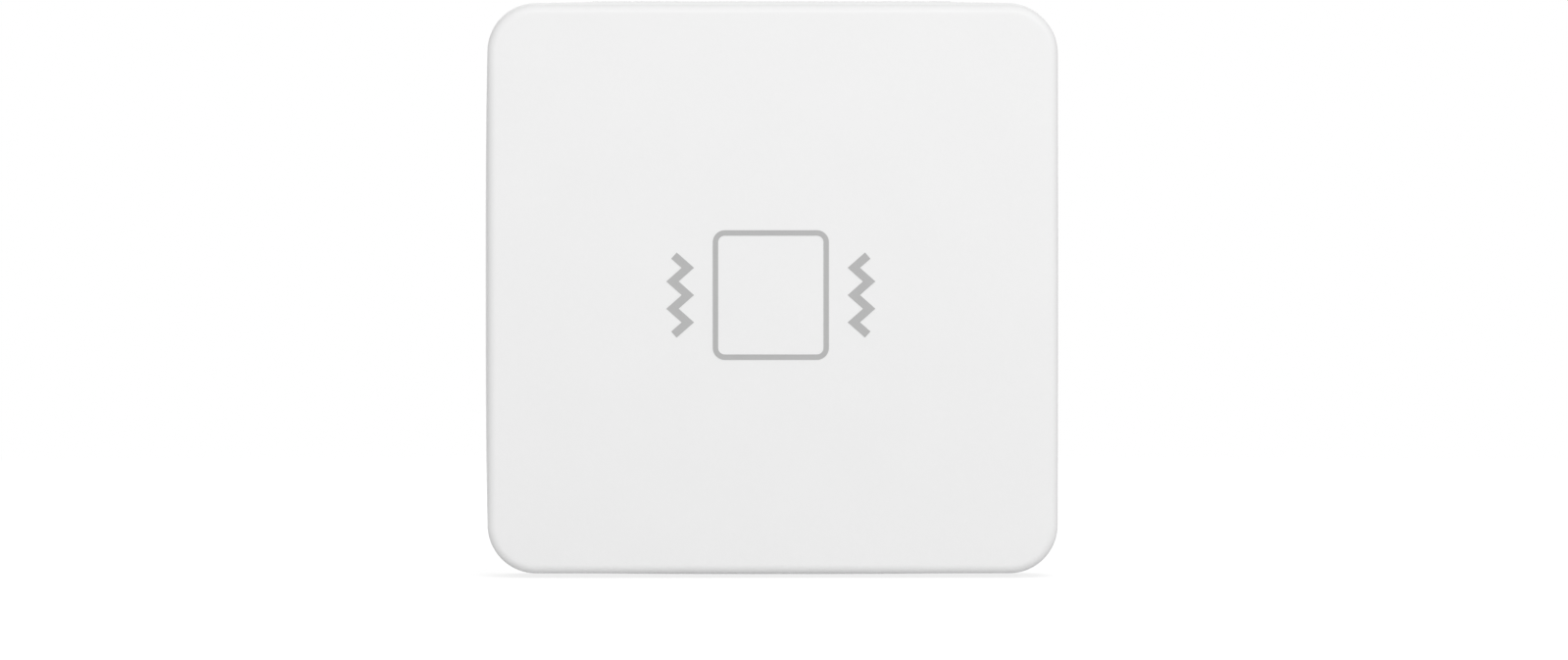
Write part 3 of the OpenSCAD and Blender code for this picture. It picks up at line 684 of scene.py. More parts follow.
# %% [markdown]
# ## The two controls
# Behind the door, a round button pairs the tag and a small lever sets how easily it wakes. Each could be
# built up from blocks, but pulling one face out of the next leaves a single closed skin. The button starts at
# its collar and is pulled out to a dished end. The lever is pulled out of its carriage and gets ribs for a
# fingernail.

# %% The pairing button
button_low, button_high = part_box("pair_button")
collar_r = (button_high.x - button_low.x) / 2
collar_h = 0.7 * MM
stem_r = 1.7 * MM
button_edge_r = 0.25 * MM
dish_rim_w = 0.2 * MM
dish_step_w = 0.4 * MM
button_x = (button_high.x + button_low.x) / 2
button_z = (button_high.z + button_low.z) / 2

button = begin("pairing_button", bpy.ops.mesh.primitive_cylinder_add, vertices=48, radius=collar_r,
               depth=collar_h, location=(button_x, button_low.y + collar_h / 2, button_z),
               rotation=(math.pi / 2, 0, 0))
pick_faces(lambda middle, normal: normal.y > FLAT)
bpy.ops.mesh.inset(thickness=collar_r - stem_r)
push(y=button_high.y - button_low.y - collar_h)
pick_edges(lambda a, b: min(a.y, b.y) > button_high.y - TINY)
round_edges(button_edge_r, steps=4)
pick_faces(lambda middle, normal: normal.y > FLAT and middle.y > button_high.y - TINY)
bpy.ops.mesh.inset(thickness=dish_rim_w)
for dish_depth in (0.1 * MM, 0.05 * MM):
    bpy.ops.mesh.inset(thickness=dish_step_w, depth=-dish_depth)
close(button)
smooth(button, angle=40)
report(button)

# %% The sensitivity lever
lever_low, lever_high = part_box("sensitivity_slider")
carriage_h = 1.6 * MM
lever_w = 2.0 * MM
lever_len = 2.4 * MM
rib_count = 4
rib_depth = 0.3 * MM
lever_edge_r = 0.05 * MM
lever_middle = (lever_low + lever_high) / 2
carriage_w = lever_high.x - lever_low.x
carriage_len = lever_high.z - lever_low.z

lever = begin("sensitivity_lever", bpy.ops.mesh.primitive_cube_add, size=1,
              location=(lever_middle.x, lever_low.y + carriage_h / 2, lever_middle.z),
              scale=(carriage_w, carriage_h, carriage_len))
pick_faces(lambda middle, normal: normal.y > FLAT)
push(y=0)
bpy.ops.transform.resize(value=(lever_w / carriage_w, 1, lever_len / carriage_len),
                         center_override=(lever_middle.x, lever_low.y + carriage_h, lever_middle.z))
push(y=lever_high.y - lever_low.y - carriage_h)
pick_edges(lambda a, b: min(a.y, b.y) > lever_high.y - TINY and abs(a.z - b.z) > TINY)
bpy.ops.mesh.subdivide(number_cuts=2 * rib_count - 2)
rib_h = lever_len / (2 * rib_count - 1)
pick_faces(lambda middle, normal: normal.y > FLAT and middle.y > lever_high.y - TINY
           and math.floor((middle.z - lever_middle.z + lever_len / 2) / rib_h) % 2 == 1)
push(y=-rib_depth)
close(lever)
soften(lever, lever_edge_r)
report(lever)

# %% [markdown]
# ## The case screws
# Four self-tapping screws hold the case together, deep in their holes. One is modelled: a head with a round
# shoulder and a cross recess, and a thin core with a pointed end. A bump could only suggest the thread, so it
# is wound around the core as a curve and joined to it. The other three screws are copies.

# %% The head and the core
head_r = 2.0 * MM
head_h = 1.4 * MM
head_edge_r = 0.6 * MM
core_r = 0.72 * MM
thread_r = 0.95 * MM
screw_len = 10 * MM
seat_y = depth(5)
tip_share = 0.15
screw_x = screw_at * MM
screw_z = middle_z + screw_at * MM
tip_len = 1.0 * MM

screw = begin("case_screw_1", bpy.ops.mesh.primitive_cylinder_add, vertices=48, radius=head_r, depth=head_h,
              location=(screw_x, seat_y + head_h / 2, screw_z), rotation=(math.pi / 2, 0, 0))
pick_edges(lambda a, b: min(a.y, b.y) > seat_y + head_h - TINY)
round_edges(head_edge_r, steps=6)
pick_faces(lambda middle, normal: normal.y < -FLAT)
bpy.ops.mesh.inset(thickness=head_r - core_r)
push(y=tip_len - screw_len)
push(y=-tip_len)
bpy.ops.transform.resize(value=(tip_share, 1, tip_share),
                         center_override=(screw_x, seat_y - screw_len, screw_z))
close(screw)
report(screw)

# %% The cross recess
cross_len = 2.2 * MM
cross_w = 0.5 * MM
cross_depth = 0.75 * MM
cross_taper = 0.45
head_top = seat_y + head_h
cross_foot = (screw_x, head_top - cross_depth, screw_z)

for turn in (0, math.pi / 2):
    blade = begin("blade", bpy.ops.mesh.primitive_cube_add, size=1, location=(screw_x, head_top, screw_z),
                  rotation=(0, turn, 0), scale=(cross_len, 2 * cross_depth, cross_w))
    pick_faces(lambda middle, normal: normal.y < -FLAT)
    bpy.ops.transform.resize(value=(cross_taper, 1, cross_taper), center_override=cross_foot)
    combine(screw, close(blade), "DIFFERENCE")
report(screw)

# %% The thread, and the other three screws
thread_pitch = 0.8 * MM
thread_turns = 9
thread_wire = 0.2 * MM
thread_points = 24
thread_below_head = 1.2 * MM
fade_share = 0.125
fade_sink = 0.35 * thread_wire
thread_top = seat_y - thread_below_head

points = []
for number in range(thread_turns * thread_points + 1):
    angle = 2 * math.pi * number / thread_points
    run = number / (thread_turns * thread_points)
    radius = thread_r - thread_wire - fade_sink * (1 - eased(min(run, 1 - run) / fade_share))
    points.append((screw_x + radius * math.cos(angle), thread_top - run * thread_turns * thread_pitch,
                   screw_z + radius * math.sin(angle)))
combine(screw, wire("thread", points, radius=thread_wire, roundness=0), "UNION")
smooth(screw)

screws = [screw]
for x, y in CORNERS[:-1]:
    twin = copy_piece(screw, "case_screw_" + str(len(screws) + 1))
    twin.location = ((x - 1) * screw_x, 0, (y - 1) * screw_at * MM)
    settle(twin)
    screws.append(twin)
report(screw)

# %% [markdown]
# ## Shader maths
# A material is a small program, and it reads best as one. This class wraps an output of a node: adding or
# multiplying two of them adds the Math nodes, and one method makes any other node.

# %% A socket that can be calculated with


class Shade:
    """An output socket in a node tree; sums and products of shades add Math nodes."""

    def __init__(self, tree, socket=None):
        self.tree = tree
        self.socket = socket

    def node(self, kind, settings=None, sockets=None, output=0):
        """Adds a node: its type, its settings, then the values or links of its sockets."""
        made = self.tree.nodes.new(kind)
        for key, value in (settings or {}).items():
            setattr(made, key, value)
        for key, value in (sockets or {}).items():
            if isinstance(value, Shade):
                self.tree.links.new(value.socket, made.inputs[key])
            else:
                made.inputs[key].default_value = value
        return Shade(self.tree, made.outputs[output] if made.outputs else None)

    def math(self, operation, *values):
        return self.node("ShaderNodeMath", {"operation": operation}, dict(enumerate(values)))

    def __add__(self, other):
        return self.math("ADD", self, other)

    def __radd__(self, other):
        return self.math("ADD", other, self)

    def __sub__(self, other):
        return self.math("SUBTRACT", self, other)

    def __rsub__(self, other):
        return self.math("SUBTRACT", other, self)

    def __mul__(self, other):
        return self.math("MULTIPLY", self, other)

    def __rmul__(self, other):
        return self.math("MULTIPLY", other, self)

    def __lt__(self, other):
        return self.math("LESS_THAN", self, other)

    def __gt__(self, other):
        return self.math("GREATER_THAN", self, other)

    def __abs__(self):
        return self.math("ABSOLUTE", self)

    def mix(self, low, high):
        """A colour between two others, by this value."""
        return self.node("ShaderNodeMix", {"data_type": "RGBA"}, {0: self, 6: low, 7: high}, output=2)

    def noise(self, spot, size, detail=2, roughness=0.5):
        """Soft random values from 0 to 1 with features of a size in metres."""
        return self.node("ShaderNodeTexNoise", None,
                         {"Vector": spot, "Scale": 1 / size, "Detail": detail, "Roughness": roughness})

    def bump(self, height, distance, strength=1):
        return self.node("ShaderNodeBump", None,
                         {"Strength": strength, "Distance": distance, "Height": height})


# %% Start a material, feed its shader and finish it


def grey(level):
    return (level, level, level, 1)


def new_finish(name):
    """A new material: the material, its shader, a start for expressions and the place on the piece."""
    material = bpy.data.materials.new(name)
    material.use_nodes = True
    start = Shade(material.node_tree)
    spot = start.node("ShaderNodeTexCoord", output="Object")
    return material, material.node_tree.nodes["Principled BSDF"], start, spot


def feed(shader, **sockets):
    """Sets or links sockets of a shader; an underscore stands for a space."""
    for key, value in sockets.items():
        socket = shader.inputs[key.replace("_", " ")]
        if isinstance(value, Shade):
            shader.id_data.links.new(value.socket, socket)
        else:
            socket.default_value = value


def finished(material):
    """Tells how many nodes a material has, and hands it on."""
    print(material.name, len(material.node_tree.nodes), "nodes")
    return material


# %% [markdown]
# ## The white plastic
# The case is neutral white plastic from a spark-eroded mould: matte, with a grain of about a quarter of a
# millimetre that breaks up reflections, and a tone that drifts very slightly across a moulding. Noise at
# three sizes gives all of that. A picture of plastic would need a map to lie on; noise in space needs none.

# %% White plastic
plastic_gloss = 0.35
finish, shader, start, spot = new_finish("white_plastic")
grain = start.noise(spot, 0.22 * MM, detail=3, roughness=0.65)
speckle = start.noise(spot, 0.6 * MM, detail=2)
drift = start.noise(spot, 9 * MM, detail=2)
tone = 0.5 * drift + 0.3 * speckle + 0.2 * grain
feed(shader, Base_Color=tone.mix(grey(0.845), grey(0.885)),
     Roughness=0.42 + 0.1 * grain + 0.06 * drift,
     Specular_IOR_Level=plastic_gloss,
     Normal=start.bump(0.7 * grain + 0.3 * speckle, 0.012 * MM, 0.6))
white_plastic = finished(finish)

# %% [markdown]
# ## The printed symbol
# The symbol is pad printed: a soft pad presses a thin, matte film of grey ink on the face. The film is a
# touch uneven, so a fine stipple and a slow cloud vary its tone, and its surface is almost flat. The CAD node
# has the right shape, so it stays and only gets this finish.

# %% Grey ink
finish, shader, start, spot = new_finish("pad_ink")
stipple = start.noise(spot, 0.15 * MM, detail=3)
cloud = start.noise(spot, 1.5 * MM, detail=2)
feed(shader, Base_Color=(0.6 * stipple + 0.4 * cloud).mix(grey(0.43), grey(0.49)),
     Roughness=0.5 + 0.12 * stipple,
     Specular_IOR_Level=plastic_gloss,
     Normal=start.bump(stipple, 0.006 * MM, 0.5))
pad_ink = finished(finish)

# %% [markdown]
# ## The foam tape
# Closed-cell foam is full of small bubbles that are cut open at its skin. A Voronoi texture's distance to its
# cell edges sinks the bubbles as shallow hollows in the bump, and paints shade into them: darker in their
# middles, lighter on the thin walls between them.

# %% Foam
finish, shader, start, spot = new_finish("cut_foam")
edge = start.node("ShaderNodeTexVoronoi", {"feature": "DISTANCE_TO_EDGE"},
                  {"Vector": spot, "Scale": 1 / (0.28 * MM)})
# Painted shade: this mask darkens the middle of each bubble in the skin's colour below, and also sinks it in
# the bump.
hollow_and_shade = start.math("MINIMUM", 6 * edge, 1.0)
cloud = start.noise(spot, 2 * MM, detail=3)
skin = 0.4 + 0.4 * cloud - 0.35 * hollow_and_shade
feed(shader, Base_Color=skin.mix((0.04, 0.04, 0.042, 1), (0.15, 0.15, 0.155, 1)),
     Roughness=0.7 + 0.2 * cloud,
     Normal=start.bump(1 - hollow_and_shade, 0.04 * MM, 0.7))
cut_foam = finished(finish)

# %% [markdown]
# ## Plated metals
# The contacts, cans, shields and screws are sheet or wire that was rolled, drawn or turned, and then plated.
# What they share is fine lines along the way they were worked, and a plating that is cloudier in some places
# than in others. One function makes them all: a Mapping node squeezes the noise along the grain.

# %% One function for plated metals


def axis(spot, name):
    """One coordinate of a place on the piece, in millimetres."""
    return 1000 * spot.node("ShaderNodeSeparateXYZ", None, {0: spot}, output=name)


def plated(name, dull, bright, roughness, grain):
    """A plated metal between two colours, with fine lines along the axis where grain is small."""
    finish, shader, start, spot = new_finish(name)
    squeezed = start.node("ShaderNodeMapping", None, {"Vector": spot, "Scale": grain})
    lines = start.noise(squeezed, 0.1 * MM, detail=4, roughness=0.6)
    cloud = start.noise(spot, 1.4 * MM, detail=3)
    feed(shader, Base_Color=(0.45 * lines + 0.55 * cloud).mix(dull, bright),
         Metallic=1.0,
         Roughness=roughness + 0.18 * (cloud - 0.5) + 0.14 * (lines - 0.5),
         Normal=start.bump(lines, 0.004 * MM, 0.5))
    return finished(finish)


can_steel = plated("can_steel", (0.42, 0.42, 0.43, 1), (0.62, 0.62, 0.63, 1), 0.3, (1, 1, 0.04))
nickel = plated("contact_nickel_plate", (0.48, 0.45, 0.37, 1), (0.7, 0.67, 0.57, 1), 0.27, (1, 1, 0.05))
spring_wire = plated("spring_wire", (0.46, 0.44, 0.38, 1), (0.72, 0.7, 0.63, 1), 0.22, (0.3, 0.3, 1))
tin = plated("tin_plate", (0.44, 0.44, 0.45, 1), (0.62, 0.62, 0.63, 1), 0.38, (0.05, 1, 1))
zinc = plated("zinc_plate", (0.27, 0.275, 0.29, 1), (0.44, 0.44, 0.45, 1), 0.36, (1, 0.2, 1))
gold = plated("gold_flash", (0.56, 0.29, 0.05, 1), (0.78, 0.45, 0.1, 1), 0.3, (1, 1, 1))

# %% [markdown]
# ## The cell sleeves
# The film on a cell is printed before it is shrunk on. Here it is green with a pale band at the positive end,
# a thin silver line where they meet, and a plus and a minus sign so that the cells go in the right way
# round. The signs are only tests on two coordinates: how far across the cell a place is, and how far along.

# %% A printed sleeve for each cell
band_from = 13
plus_at = 17
minus_at = -18
sign_half = 1.5
stroke_half = 0.4
line_half = 0.35
rings_below = -12
ring_pitch = 1.0
ring_w = 0.24


def either(first, second):
    """1 where one of two marks is."""
    return first.math("MAXIMUM", first, second)


def sleeve_finish(name, middle, plus_way):
    """A printed film around an axis through a middle, whose positive end is up (1) or down (-1)."""
    finish, shader, start, spot = new_finish(name)
    across = abs(axis(spot, "X") - middle.x / MM)
    along = plus_way * (axis(spot, "Z") - middle.z / MM)
    outward = axis(spot, "Y") > middle.y / MM
    cap = along > band_from
    line = abs(along - band_from) < line_half
    from_plus = abs(along - plus_at)
    upright = (across < stroke_half) * (from_plus < sign_half)
    level = (across < sign_half) * (from_plus < stroke_half)
    plus = either(upright, level)
    minus = (across < sign_half) * (abs(along - minus_at) < stroke_half)
    stripe = start.math("PINGPONG", along, ring_pitch / 2) < ring_w / 2
    fine = start.noise(spot, 0.12 * MM, detail=3)
    cloud = start.noise(spot, 3 * MM, detail=2)
    body = (0.5 * fine + 0.5 * cloud).mix((0.011, 0.115, 0.055, 1), (0.02, 0.17, 0.088, 1))
    ringed = (0.35 * stripe * (along < rings_below)).mix(body, (0.25, 0.4, 0.3, 1))
    capped = cap.mix(ringed, (0.55, 0.56, 0.53, 1))
    lined = line.mix(capped, (0.78, 0.78, 0.76, 1))
    signed = (outward * plus).mix(lined, (0.02, 0.05, 0.04, 1))
    feed(shader, Base_Color=(outward * minus).mix(signed, (0.7, 0.72, 0.68, 1)),
         Roughness=0.24 + 0.14 * cloud,
         Metallic=0.7 * line,
         Normal=start.bump(0.3 * fine + 0.7 * cloud, 0.01 * MM, 0.4))
    return finished(finish)


sleeve_up = sleeve_finish("sleeve_plus_up", can_middle, 1)
sleeve_down = sleeve_finish("sleeve_plus_down", twin_middle, -1)

# %% [markdown]
# ## Black mouldings
# The button, the lever and the switch bodies are black nylon. It is never quite black: a fine grain catches
# the light, and the tone drifts where the plastic flowed into the mould.

# %% Black nylon
finish, shader, start, spot = new_finish("black_nylon")
grain = start.noise(spot, 0.09 * MM, detail=3)
flow = start.noise(spot, 1.8 * MM, detail=3)
feed(shader, Base_Color=(0.5 * grain + 0.5 * flow).mix(grey(0.009), grey(0.022)),
     Roughness=0.38 + 0.16 * grain + 0.1 * flow,
     Normal=start.bump(grain, 0.008 * MM, 0.5))
black_nylon = finished(finish)

# %% [markdown]
# ## The circuit board
# A board is woven glass laminate with copper on it, under a thin green film of solder mask. Tracks show
# through the film as lighter lines. Each patch of a Voronoi texture runs its tracks across or up the board, a
# second one scatters the small plated holes, and the two screw holes get a gold ring. The cut edge, between
# the two faces, shows the bare laminate.

# %% Solder mask with tracks, plated holes and a bare edge
patch_size = 4 * MM
track_pitch = 0.6
track_w = 0.2
via_spacing = 3 * MM
via_share = 0.1
via_bore_share = 0.04
pad_r = 2.1
hole_r = 0.9
mask_t = 0.04
board_low, board_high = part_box("circuit_board")
board_screw_low, board_screw_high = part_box("board_screws")
board_hole_x = (board_screw_high.x - board_screw_low.x) / 2 - (board_screw_high.z - board_screw_low.z) / 2

finish, shader, start, spot = new_finish("solder_mask")
across = axis(spot, "X")
up = axis(spot, "Z") - middle_z / MM
deep = axis(spot, "Y")
flat = start.node("ShaderNodeMapping", None, {"Vector": spot, "Scale": (1, 0, 1)})
patch = start.node("ShaderNodeTexVoronoi", {"distance": "CHEBYCHEV"},
                   {"Vector": flat, "Scale": 1 / patch_size}, output="Color")
sideways = patch > 0.5
level_track = start.math("PINGPONG", up, track_pitch / 2)
upright_track = start.math("PINGPONG", across, track_pitch / 2)
track = sideways * level_track + (1 - sideways) * upright_track < track_w / 2
nearest = start.node("ShaderNodeTexVoronoi", None, {"Vector": flat, "Scale": 1 / via_spacing},
                     output="Distance")
via = (nearest < via_share) * (nearest > via_bore_share)
side = abs(across) - board_hole_x / MM
from_hole = start.math("SQRT", side * side + up * up)
ring = (from_hole < pad_r) * (from_hole > hole_r)
bare = (deep > board_low.y / MM + mask_t) * (deep < board_high.y / MM - mask_t)
metal = either(via, ring) * (1 - bare)
weave = start.noise(spot, 0.25 * MM, detail=3)
mask = (0.65 * track + 0.35 * weave).mix((0.0035, 0.05, 0.014, 1), (0.012, 0.13, 0.038, 1))
laminate = weave.mix((0.2, 0.19, 0.09, 1), (0.34, 0.33, 0.18, 1))
feed(shader, Base_Color=metal.mix(bare.mix(mask, laminate), (0.7, 0.4, 0.09, 1)),
     Metallic=metal,
     Roughness=0.3 + 0.12 * weave + 0.3 * bare,
     Normal=start.bump(track + 0.2 * weave, 0.02 * MM, 0.5))
solder_mask = finished(finish)

# %% [markdown]
# ## Chips and small parts
# A chip is moulded in black resin around a metal frame. Its top has a dimple that marks the first lead, its
# foot shows the tinned ends of the leads, and those are stripes along the two horizontal axes. A resistor, a
# ceramic capacitor and a tantalum capacitor are a body between two tinned ends.

# %% Black resin with a dimple and tinned leads
foot_h = 0.18


def chip_finish(name, node, pitch):
    """Moulded resin for one chip, with a dimple near a top corner and leads around its foot."""
    low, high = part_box(node)
    finish, shader, start, spot = new_finish(name)
    across = axis(spot, "X") - low.x / MM
    up = high.z / MM - axis(spot, "Z")
    foot = axis(spot, "Y") > high.y / MM - foot_h
    inset = 0.22 * min(high.x - low.x, high.z - low.z) / MM
    dimple_x = across - inset
    dimple_z = up - inset
    dimple = start.math("SQRT", dimple_x * dimple_x + dimple_z * dimple_z) < 0.45 * inset
    grain = start.noise(spot, 0.08 * MM, detail=3)
    cloud = start.noise(spot, 0.9 * MM, detail=2)
    lead = foot * either(start.math("PINGPONG", across, pitch / 2) < pitch / 4,
                         start.math("PINGPONG", up, pitch / 2) < pitch / 4)
    resin = (0.6 * grain + 0.4 * cloud).mix(grey(0.008), grey(0.02))
    marked = (0.5 * dimple).mix(resin, grey(0.05))
    feed(shader, Base_Color=lead.mix(marked, grey(0.6)),
         Metallic=lead,
         Roughness=0.5 + 0.16 * grain - 0.2 * dimple - 0.12 * lead,
         Normal=start.bump(grain - 2 * dimple, 0.01 * MM, 0.6))
    return finished(finish)


radio_resin = chip_finish("radio_resin", "radio_chip", 0.5)
sensor_resin = chip_finish("sensor_resin", "accelerometer", 0.5)
power_resin = chip_finish("power_resin", "power_chip", 0.95)

# %% Bodies with tinned ends


def middle_of(node):
    low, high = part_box(node)
    return (low + high) / 2


def capped_finish(name, node, end_axis, half_len, cap, dull, bright):
    """A small part whose ends, along one axis, are tinned; cap is the length of an end in mm."""
    finish, shader, start, spot = new_finish(name)
    middle = getattr(middle_of(node), end_axis.lower())
    along = abs(axis(spot, end_axis) - middle / MM)
    end = along > half_len - cap
    grain = start.noise(spot, 0.07 * MM, detail=3)
    cloud = start.noise(spot, 0.5 * MM, detail=2)
    body = (0.5 * grain + 0.5 * cloud).mix(dull, bright)
    feed(shader, Base_Color=end.mix(body, grey(0.58)),
         Metallic=end,
         Roughness=0.5 + 0.2 * (grain - 0.5) - 0.12 * end,
         Normal=start.bump(grain + 2 * end, 0.006 * MM, 0.5))
    return finished(finish)


chip_half = 0.5
ceramic = capped_finish("fired_ceramic", "chip_capacitors", "X", chip_half, 0.22,
                        (0.26, 0.15, 0.07, 1), (0.42, 0.27, 0.14, 1))
film_resistor = capped_finish("resistor_glaze", "chip_resistors", "Z", chip_half, 0.2,
                              (0.008, 0.008, 0.01, 1), (0.03, 0.03, 0.034, 1))
tantalum = capped_finish("tantalum_resin", "bulk_capacitor", "X", 1.75, 0.25,
                         (0.46, 0.2, 0.02, 1), (0.68, 0.37, 0.05, 1))

# %% The status light
cup_r = 0.48
lamp_end = 0.72
led_middle = middle_of("status_led")
finish, shader, start, spot = new_finish("led_cup")
across = axis(spot, "X") - led_middle.x / MM
up = axis(spot, "Z") - led_middle.z / MM
cup = start.math("SQRT", across * across + up * up) < cup_r
end = abs(across) > lamp_end
grain = start.noise(spot, 0.06 * MM, detail=2)
resin = grain.mix((0.7, 0.5, 0.06, 1), (0.82, 0.66, 0.16, 1))
feed(shader, Base_Color=end.mix(cup.mix(grey(0.78), resin), grey(0.6)),
     Metallic=end,
     Roughness=0.4 - 0.28 * cup + 0.1 * grain,
     Normal=start.bump(grain - 3 * cup, 0.008 * MM, 0.5))
led_cup = finished(finish)

# %% [markdown]
# ## Dressing the model
# Each piece made here takes the place of a CAD node: it gets its finish, rides on that node's body, so that
# the door, the button and the lever move, and hides the node. The CAD nodes whose shape is right already
# keep their place and only get a finish, with a small bevel so that their edges catch the light.

# %% Pieces that stand for CAD nodes


def dress(piece, body, nodes, finish):
    """Gives a piece its finish, the body that it rides on and the CAD nodes that it stands for."""
    piece.data.materials.clear()
    piece.data.materials.append(finish)
    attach(piece, body)
    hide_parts(*nodes)


def paint_faces(piece, finish, test):
    """Gives the faces that pass a test on their middle a second finish."""
    piece.data.materials.append(finish)
    count = 0
    for face in piece.data.polygons:
        if test(face.center):
            face.material_index = len(piece.data.materials) - 1
            count += 1
    print(piece.name, count, "faces in", finish.name)


dress(cover, "case", ["front_shell"], white_plastic)
dress(tray, "case", ["rear_housing"], white_plastic)
dress(door, "door", ["battery_door"], white_plastic)
for piece in (strip, twin_strip):
    dress(piece, "case", ["adhesive_strips"], cut_foam)
dress(can, "case", ["cell_left"], can_steel)
dress(twin_can, "case", ["cell_right"], can_steel)
dress(sleeve, "case", ["wrap_left"], sleeve_up)
dress(twin_sleeve, "case", ["wrap_right"], sleeve_down)
dress(upper_spring, "case", ["negative_spring"], spring_wire)
dress(lower_spring, "case", ["series_spring"], spring_wire)
dress(button, "button", ["pair_button"], black_nylon)
dress(lever, "slider", ["sensitivity_slider"], black_nylon)
for piece in screws:
    dress(piece, "case", ["case_screws"], zinc)

washer_z = shoulder - washer_depth
twin_washer_z = twin_low.z + can_high.z - washer_z
paint_faces(can, black_nylon, lambda at: abs(at.z - washer_z) < TINY)
paint_faces(twin_can, black_nylon, lambda at: abs(at.z - twin_washer_z) < TINY)

# %% CAD nodes that keep their shape
KEPT = {
    "printed_symbol": (pad_ink, 0), "positive_contact": (nickel, 0.04), "negative_contact": (nickel, 0.04),
    "series_contact": (nickel, 0.04), "circuit_board": (solder_mask, 0.03), "antenna_trace": (gold, 0),
    "radio_chip": (radio_resin, 0.05), "accelerometer": (sensor_resin, 0.05),
    "power_chip": (power_resin, 0.06), "shield_can": (tin, 0.04), "crystal": (tin, 0.12),
    "chip_capacitors": (ceramic, 0.05), "chip_resistors": (film_resistor, 0.03),
    "bulk_capacitor": (tantalum, 0.12), "status_led": (led_cup, 0.05),
    "pair_switch_body": (black_nylon, 0.08), "pair_switch_cover": (tin, 0.04),
    "pair_switch_legs": (tin, 0.03), "slide_switch_base": (black_nylon, 0.08),
    "slide_switch_shell": (tin, 0.04), "slide_switch_legs": (tin, 0.03), "board_screws": (zinc, 0.05),
}

for name, (finish, edge) in KEPT.items():
    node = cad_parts[name]
    node.material_slots[0].material = finish
    if edge:
        weld = node.modifiers.new("weld", "WELD")
        weld.merge_threshold = MERGE
        bevel = node.modifiers.new("bevel", "BEVEL")
        bevel.width = edge * MM
        bevel.segments = 2
        bevel.limit_method = "ANGLE"
        bevel.angle_limit = math.radians(SHARP)
        bevel.harden_normals = True
print(len(KEPT), "CAD nodes keep their shape")

# %% [markdown]
# ## The camera
# The photograph looks straight at the front from so far away that the sides almost vanish, so the camera has
# a long lens. Its distance follows from the width of the tag in the picture, and its aim from the tag's place
# in it. It stands half a degree to the left and one degree up, which leaves the thin slivers of the sides
# that the picture shows.

# %% Camera
photo_w, photo_h = 1600, 673
tag_px = 584
tag_centre_px = (787.7, 293.4)
lens, sensor = 400, 36
look_left = math.radians(0.5)
look_down = math.radians(1.0)

px = 2 * half / tag_px
aim_x = (photo_w / 2 - tag_centre_px[0]) * px
aim_z = middle_z - (photo_h / 2 - tag_centre_px[1]) * px
distance = photo_w * px * lens / sensor
away = Vector((-math.sin(look_left), -1, math.sin(look_down))).normalized()

camera = bpy.data.objects.new("camera", bpy.data.cameras.new("camera"))
bpy.context.scene.collection.objects.link(camera)
camera.data.lens = lens
camera.data.sensor_width = sensor
camera.data.clip_end = 20
camera.location = Vector((aim_x, parting_y, aim_z)) + away * distance
camera.rotation_euler = (-away).to_track_quat("-Z", "Y").to_euler()
bpy.context.scene.camera = camera
print("camera", round(distance, 3), "m away")

# %% [markdown]
# ## The floor
# A sheet of white studio paper fades into its own background. Near the tag the paper is grey and takes the
# shadow, and an even glow brings it up to white. Further away only the glow is left, so that no lamp draws a
# bright patch behind the tag. What the camera sees, straight on or by way of metal and glass, glows at full
# white, and the light that the paper throws on the tag stays weaker.

# %% What the camera sees


def seen(start):
    """1 for what the camera sees, straight or mirrored or through glass; 0 for light on other things."""
    ways = [start.node("ShaderNodeLightPath", output="Is " + way + " Ray")
            for way in ("Camera", "Glossy", "Transmission")]
    return start.math("MAXIMUM", start.math("MAXIMUM", ways[0], ways[1]), ways[2])


# %% Floor
paper_grey = 0.35
fade_from = 0.15
fade_to = 0.5
white_near = 0.73
thrown_near = 0.275
thrown_far = 0.62

bpy.ops.object.select_all(action="DESELECT")
bpy.ops.mesh.primitive_plane_add(size=8, location=(0, 0, -0.1 * MM))
floor = bpy.context.object
floor.name = "floor"
finish = bpy.data.materials.new("floor_paper")
finish.use_nodes = True
finish.node_tree.nodes.clear()
floor.data.materials.append(finish)

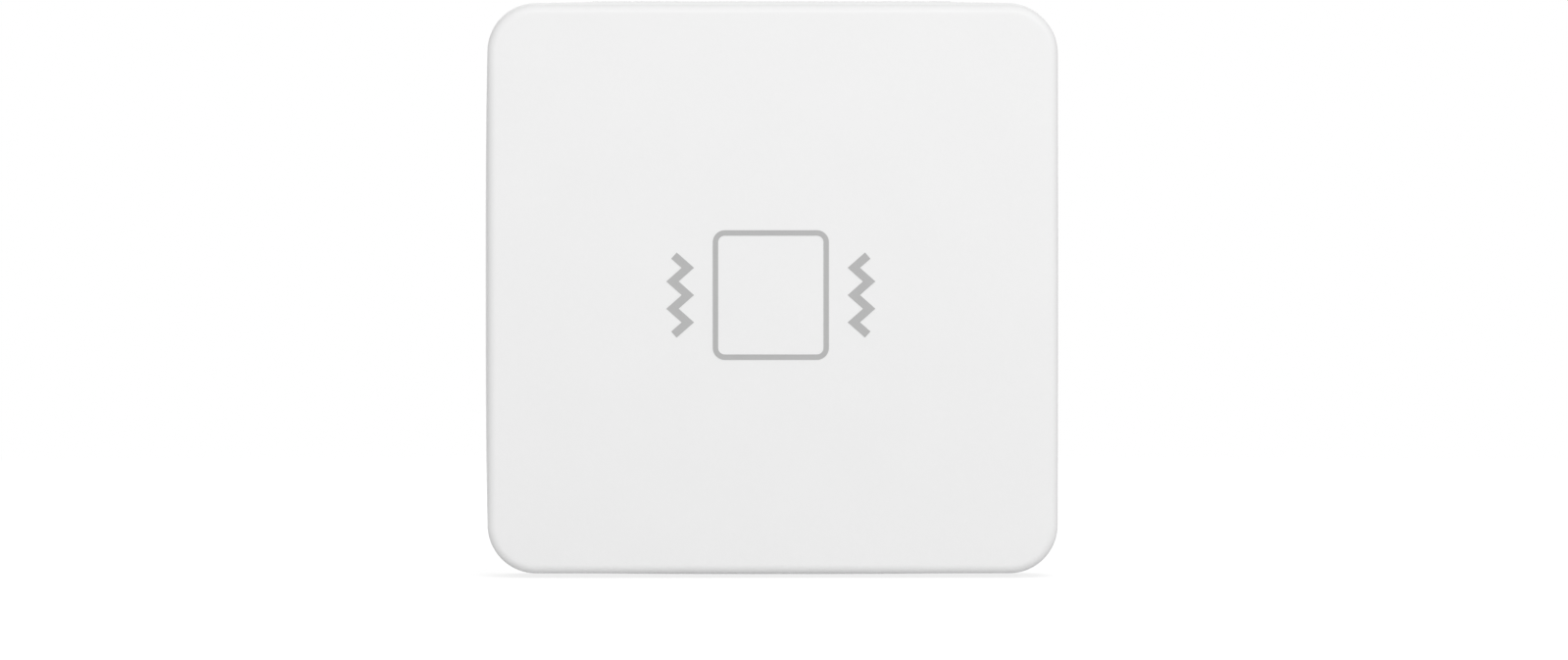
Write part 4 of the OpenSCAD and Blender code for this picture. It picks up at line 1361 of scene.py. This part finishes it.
start = Shade(finish.node_tree)
spot = start.node("ShaderNodeTexCoord", output="Object")
reach = start.node("ShaderNodeVectorMath", {"operation": "LENGTH"}, {0: spot}, output="Value")
near = start.node("ShaderNodeMapRange", None,
                  {"Value": reach, "From Min": fade_from, "From Max": fade_to, "To Min": 1, "To Max": 0})
thrown = thrown_far - (thrown_far - thrown_near) * near
white = 1.0 - (1.0 - white_near) * near
paper = start.node("ShaderNodeBsdfDiffuse", None, {"Color": near.mix(grey(0), grey(paper_grey))})
glow = start.node("ShaderNodeEmission", None,
                  {"Color": grey(1), "Strength": thrown + seen(start) * (white - thrown)})
both = start.node("ShaderNodeAddShader", None, {0: paper, 1: glow})
start.node("ShaderNodeOutputMaterial", None, {"Surface": both})
finished(finish)

# %% [markdown]
# ## The light
# An even sky lights the tag from all around, somewhat more from above and a touch more from the right, so
# that every slope of the case takes its tone from its direction. Many lamps could do the same, but a sky that
# is painted into the world leaves no hard shadow. The camera sees plain white instead of it.

# %% Sky
sky_level = 0.49
sky_slope = (0.06, 0, 0.2)

world = bpy.data.worlds.new("studio")
bpy.context.scene.world = world
world.use_nodes = True
world.node_tree.nodes.clear()
start = Shade(world.node_tree)
way = start.node("ShaderNodeTexCoord", output="Generated")
slope = start.node("ShaderNodeVectorMath", {"operation": "DOT_PRODUCT"}, {0: way, 1: sky_slope},
                   output="Value")
soft = start.math("MAXIMUM", sky_level + slope, 0.0)
sky = start.node("ShaderNodeBackground", None,
                 {"Color": grey(1), "Strength": soft + seen(start) * (1 - soft)})
start.node("ShaderNodeOutputWorld", None, {"Surface": sky})
print("sky from", sky_level - Vector(sky_slope).length, "to", sky_level + Vector(sky_slope).length)

# %% [markdown]
# ## The lamps
# A round soft box stands up in front of the tag, a little to the right. It is so near that the face fades
# slightly from its top to its bottom, and the upper edge, which turns towards it, gets a thin light line. A
# second lamp, high behind the tag, lights its top and its back. That one throws no reflection, because the
# sides would mirror it as a glare.

# %% Lamps


def add_lamp(name, towards, distance, size, power):
    """A round soft lamp that looks at the middle of the tag."""
    lamp = bpy.data.objects.new(name, bpy.data.lights.new(name, "AREA"))
    bpy.context.scene.collection.objects.link(lamp)
    lamp.data.shape = "DISK"
    lamp.data.size = size
    lamp.data.energy = power
    away = Vector(towards).normalized()
    lamp.location = Vector((0, 0, middle_z)) + away * distance
    lamp.rotation_euler = away.to_track_quat("Z", "Y").to_euler()
    return lamp


add_lamp("soft_box", towards=(0.12, -0.9, 0.41), distance=0.6, size=0.2, power=1.5)
back_fill = add_lamp("back_fill", towards=(0, 0.93, 0.37), distance=0.8, size=0.3, power=2.6)
back_fill.visible_glossy = False
bpy.context.scene.view_settings.view_transform = "Standard"
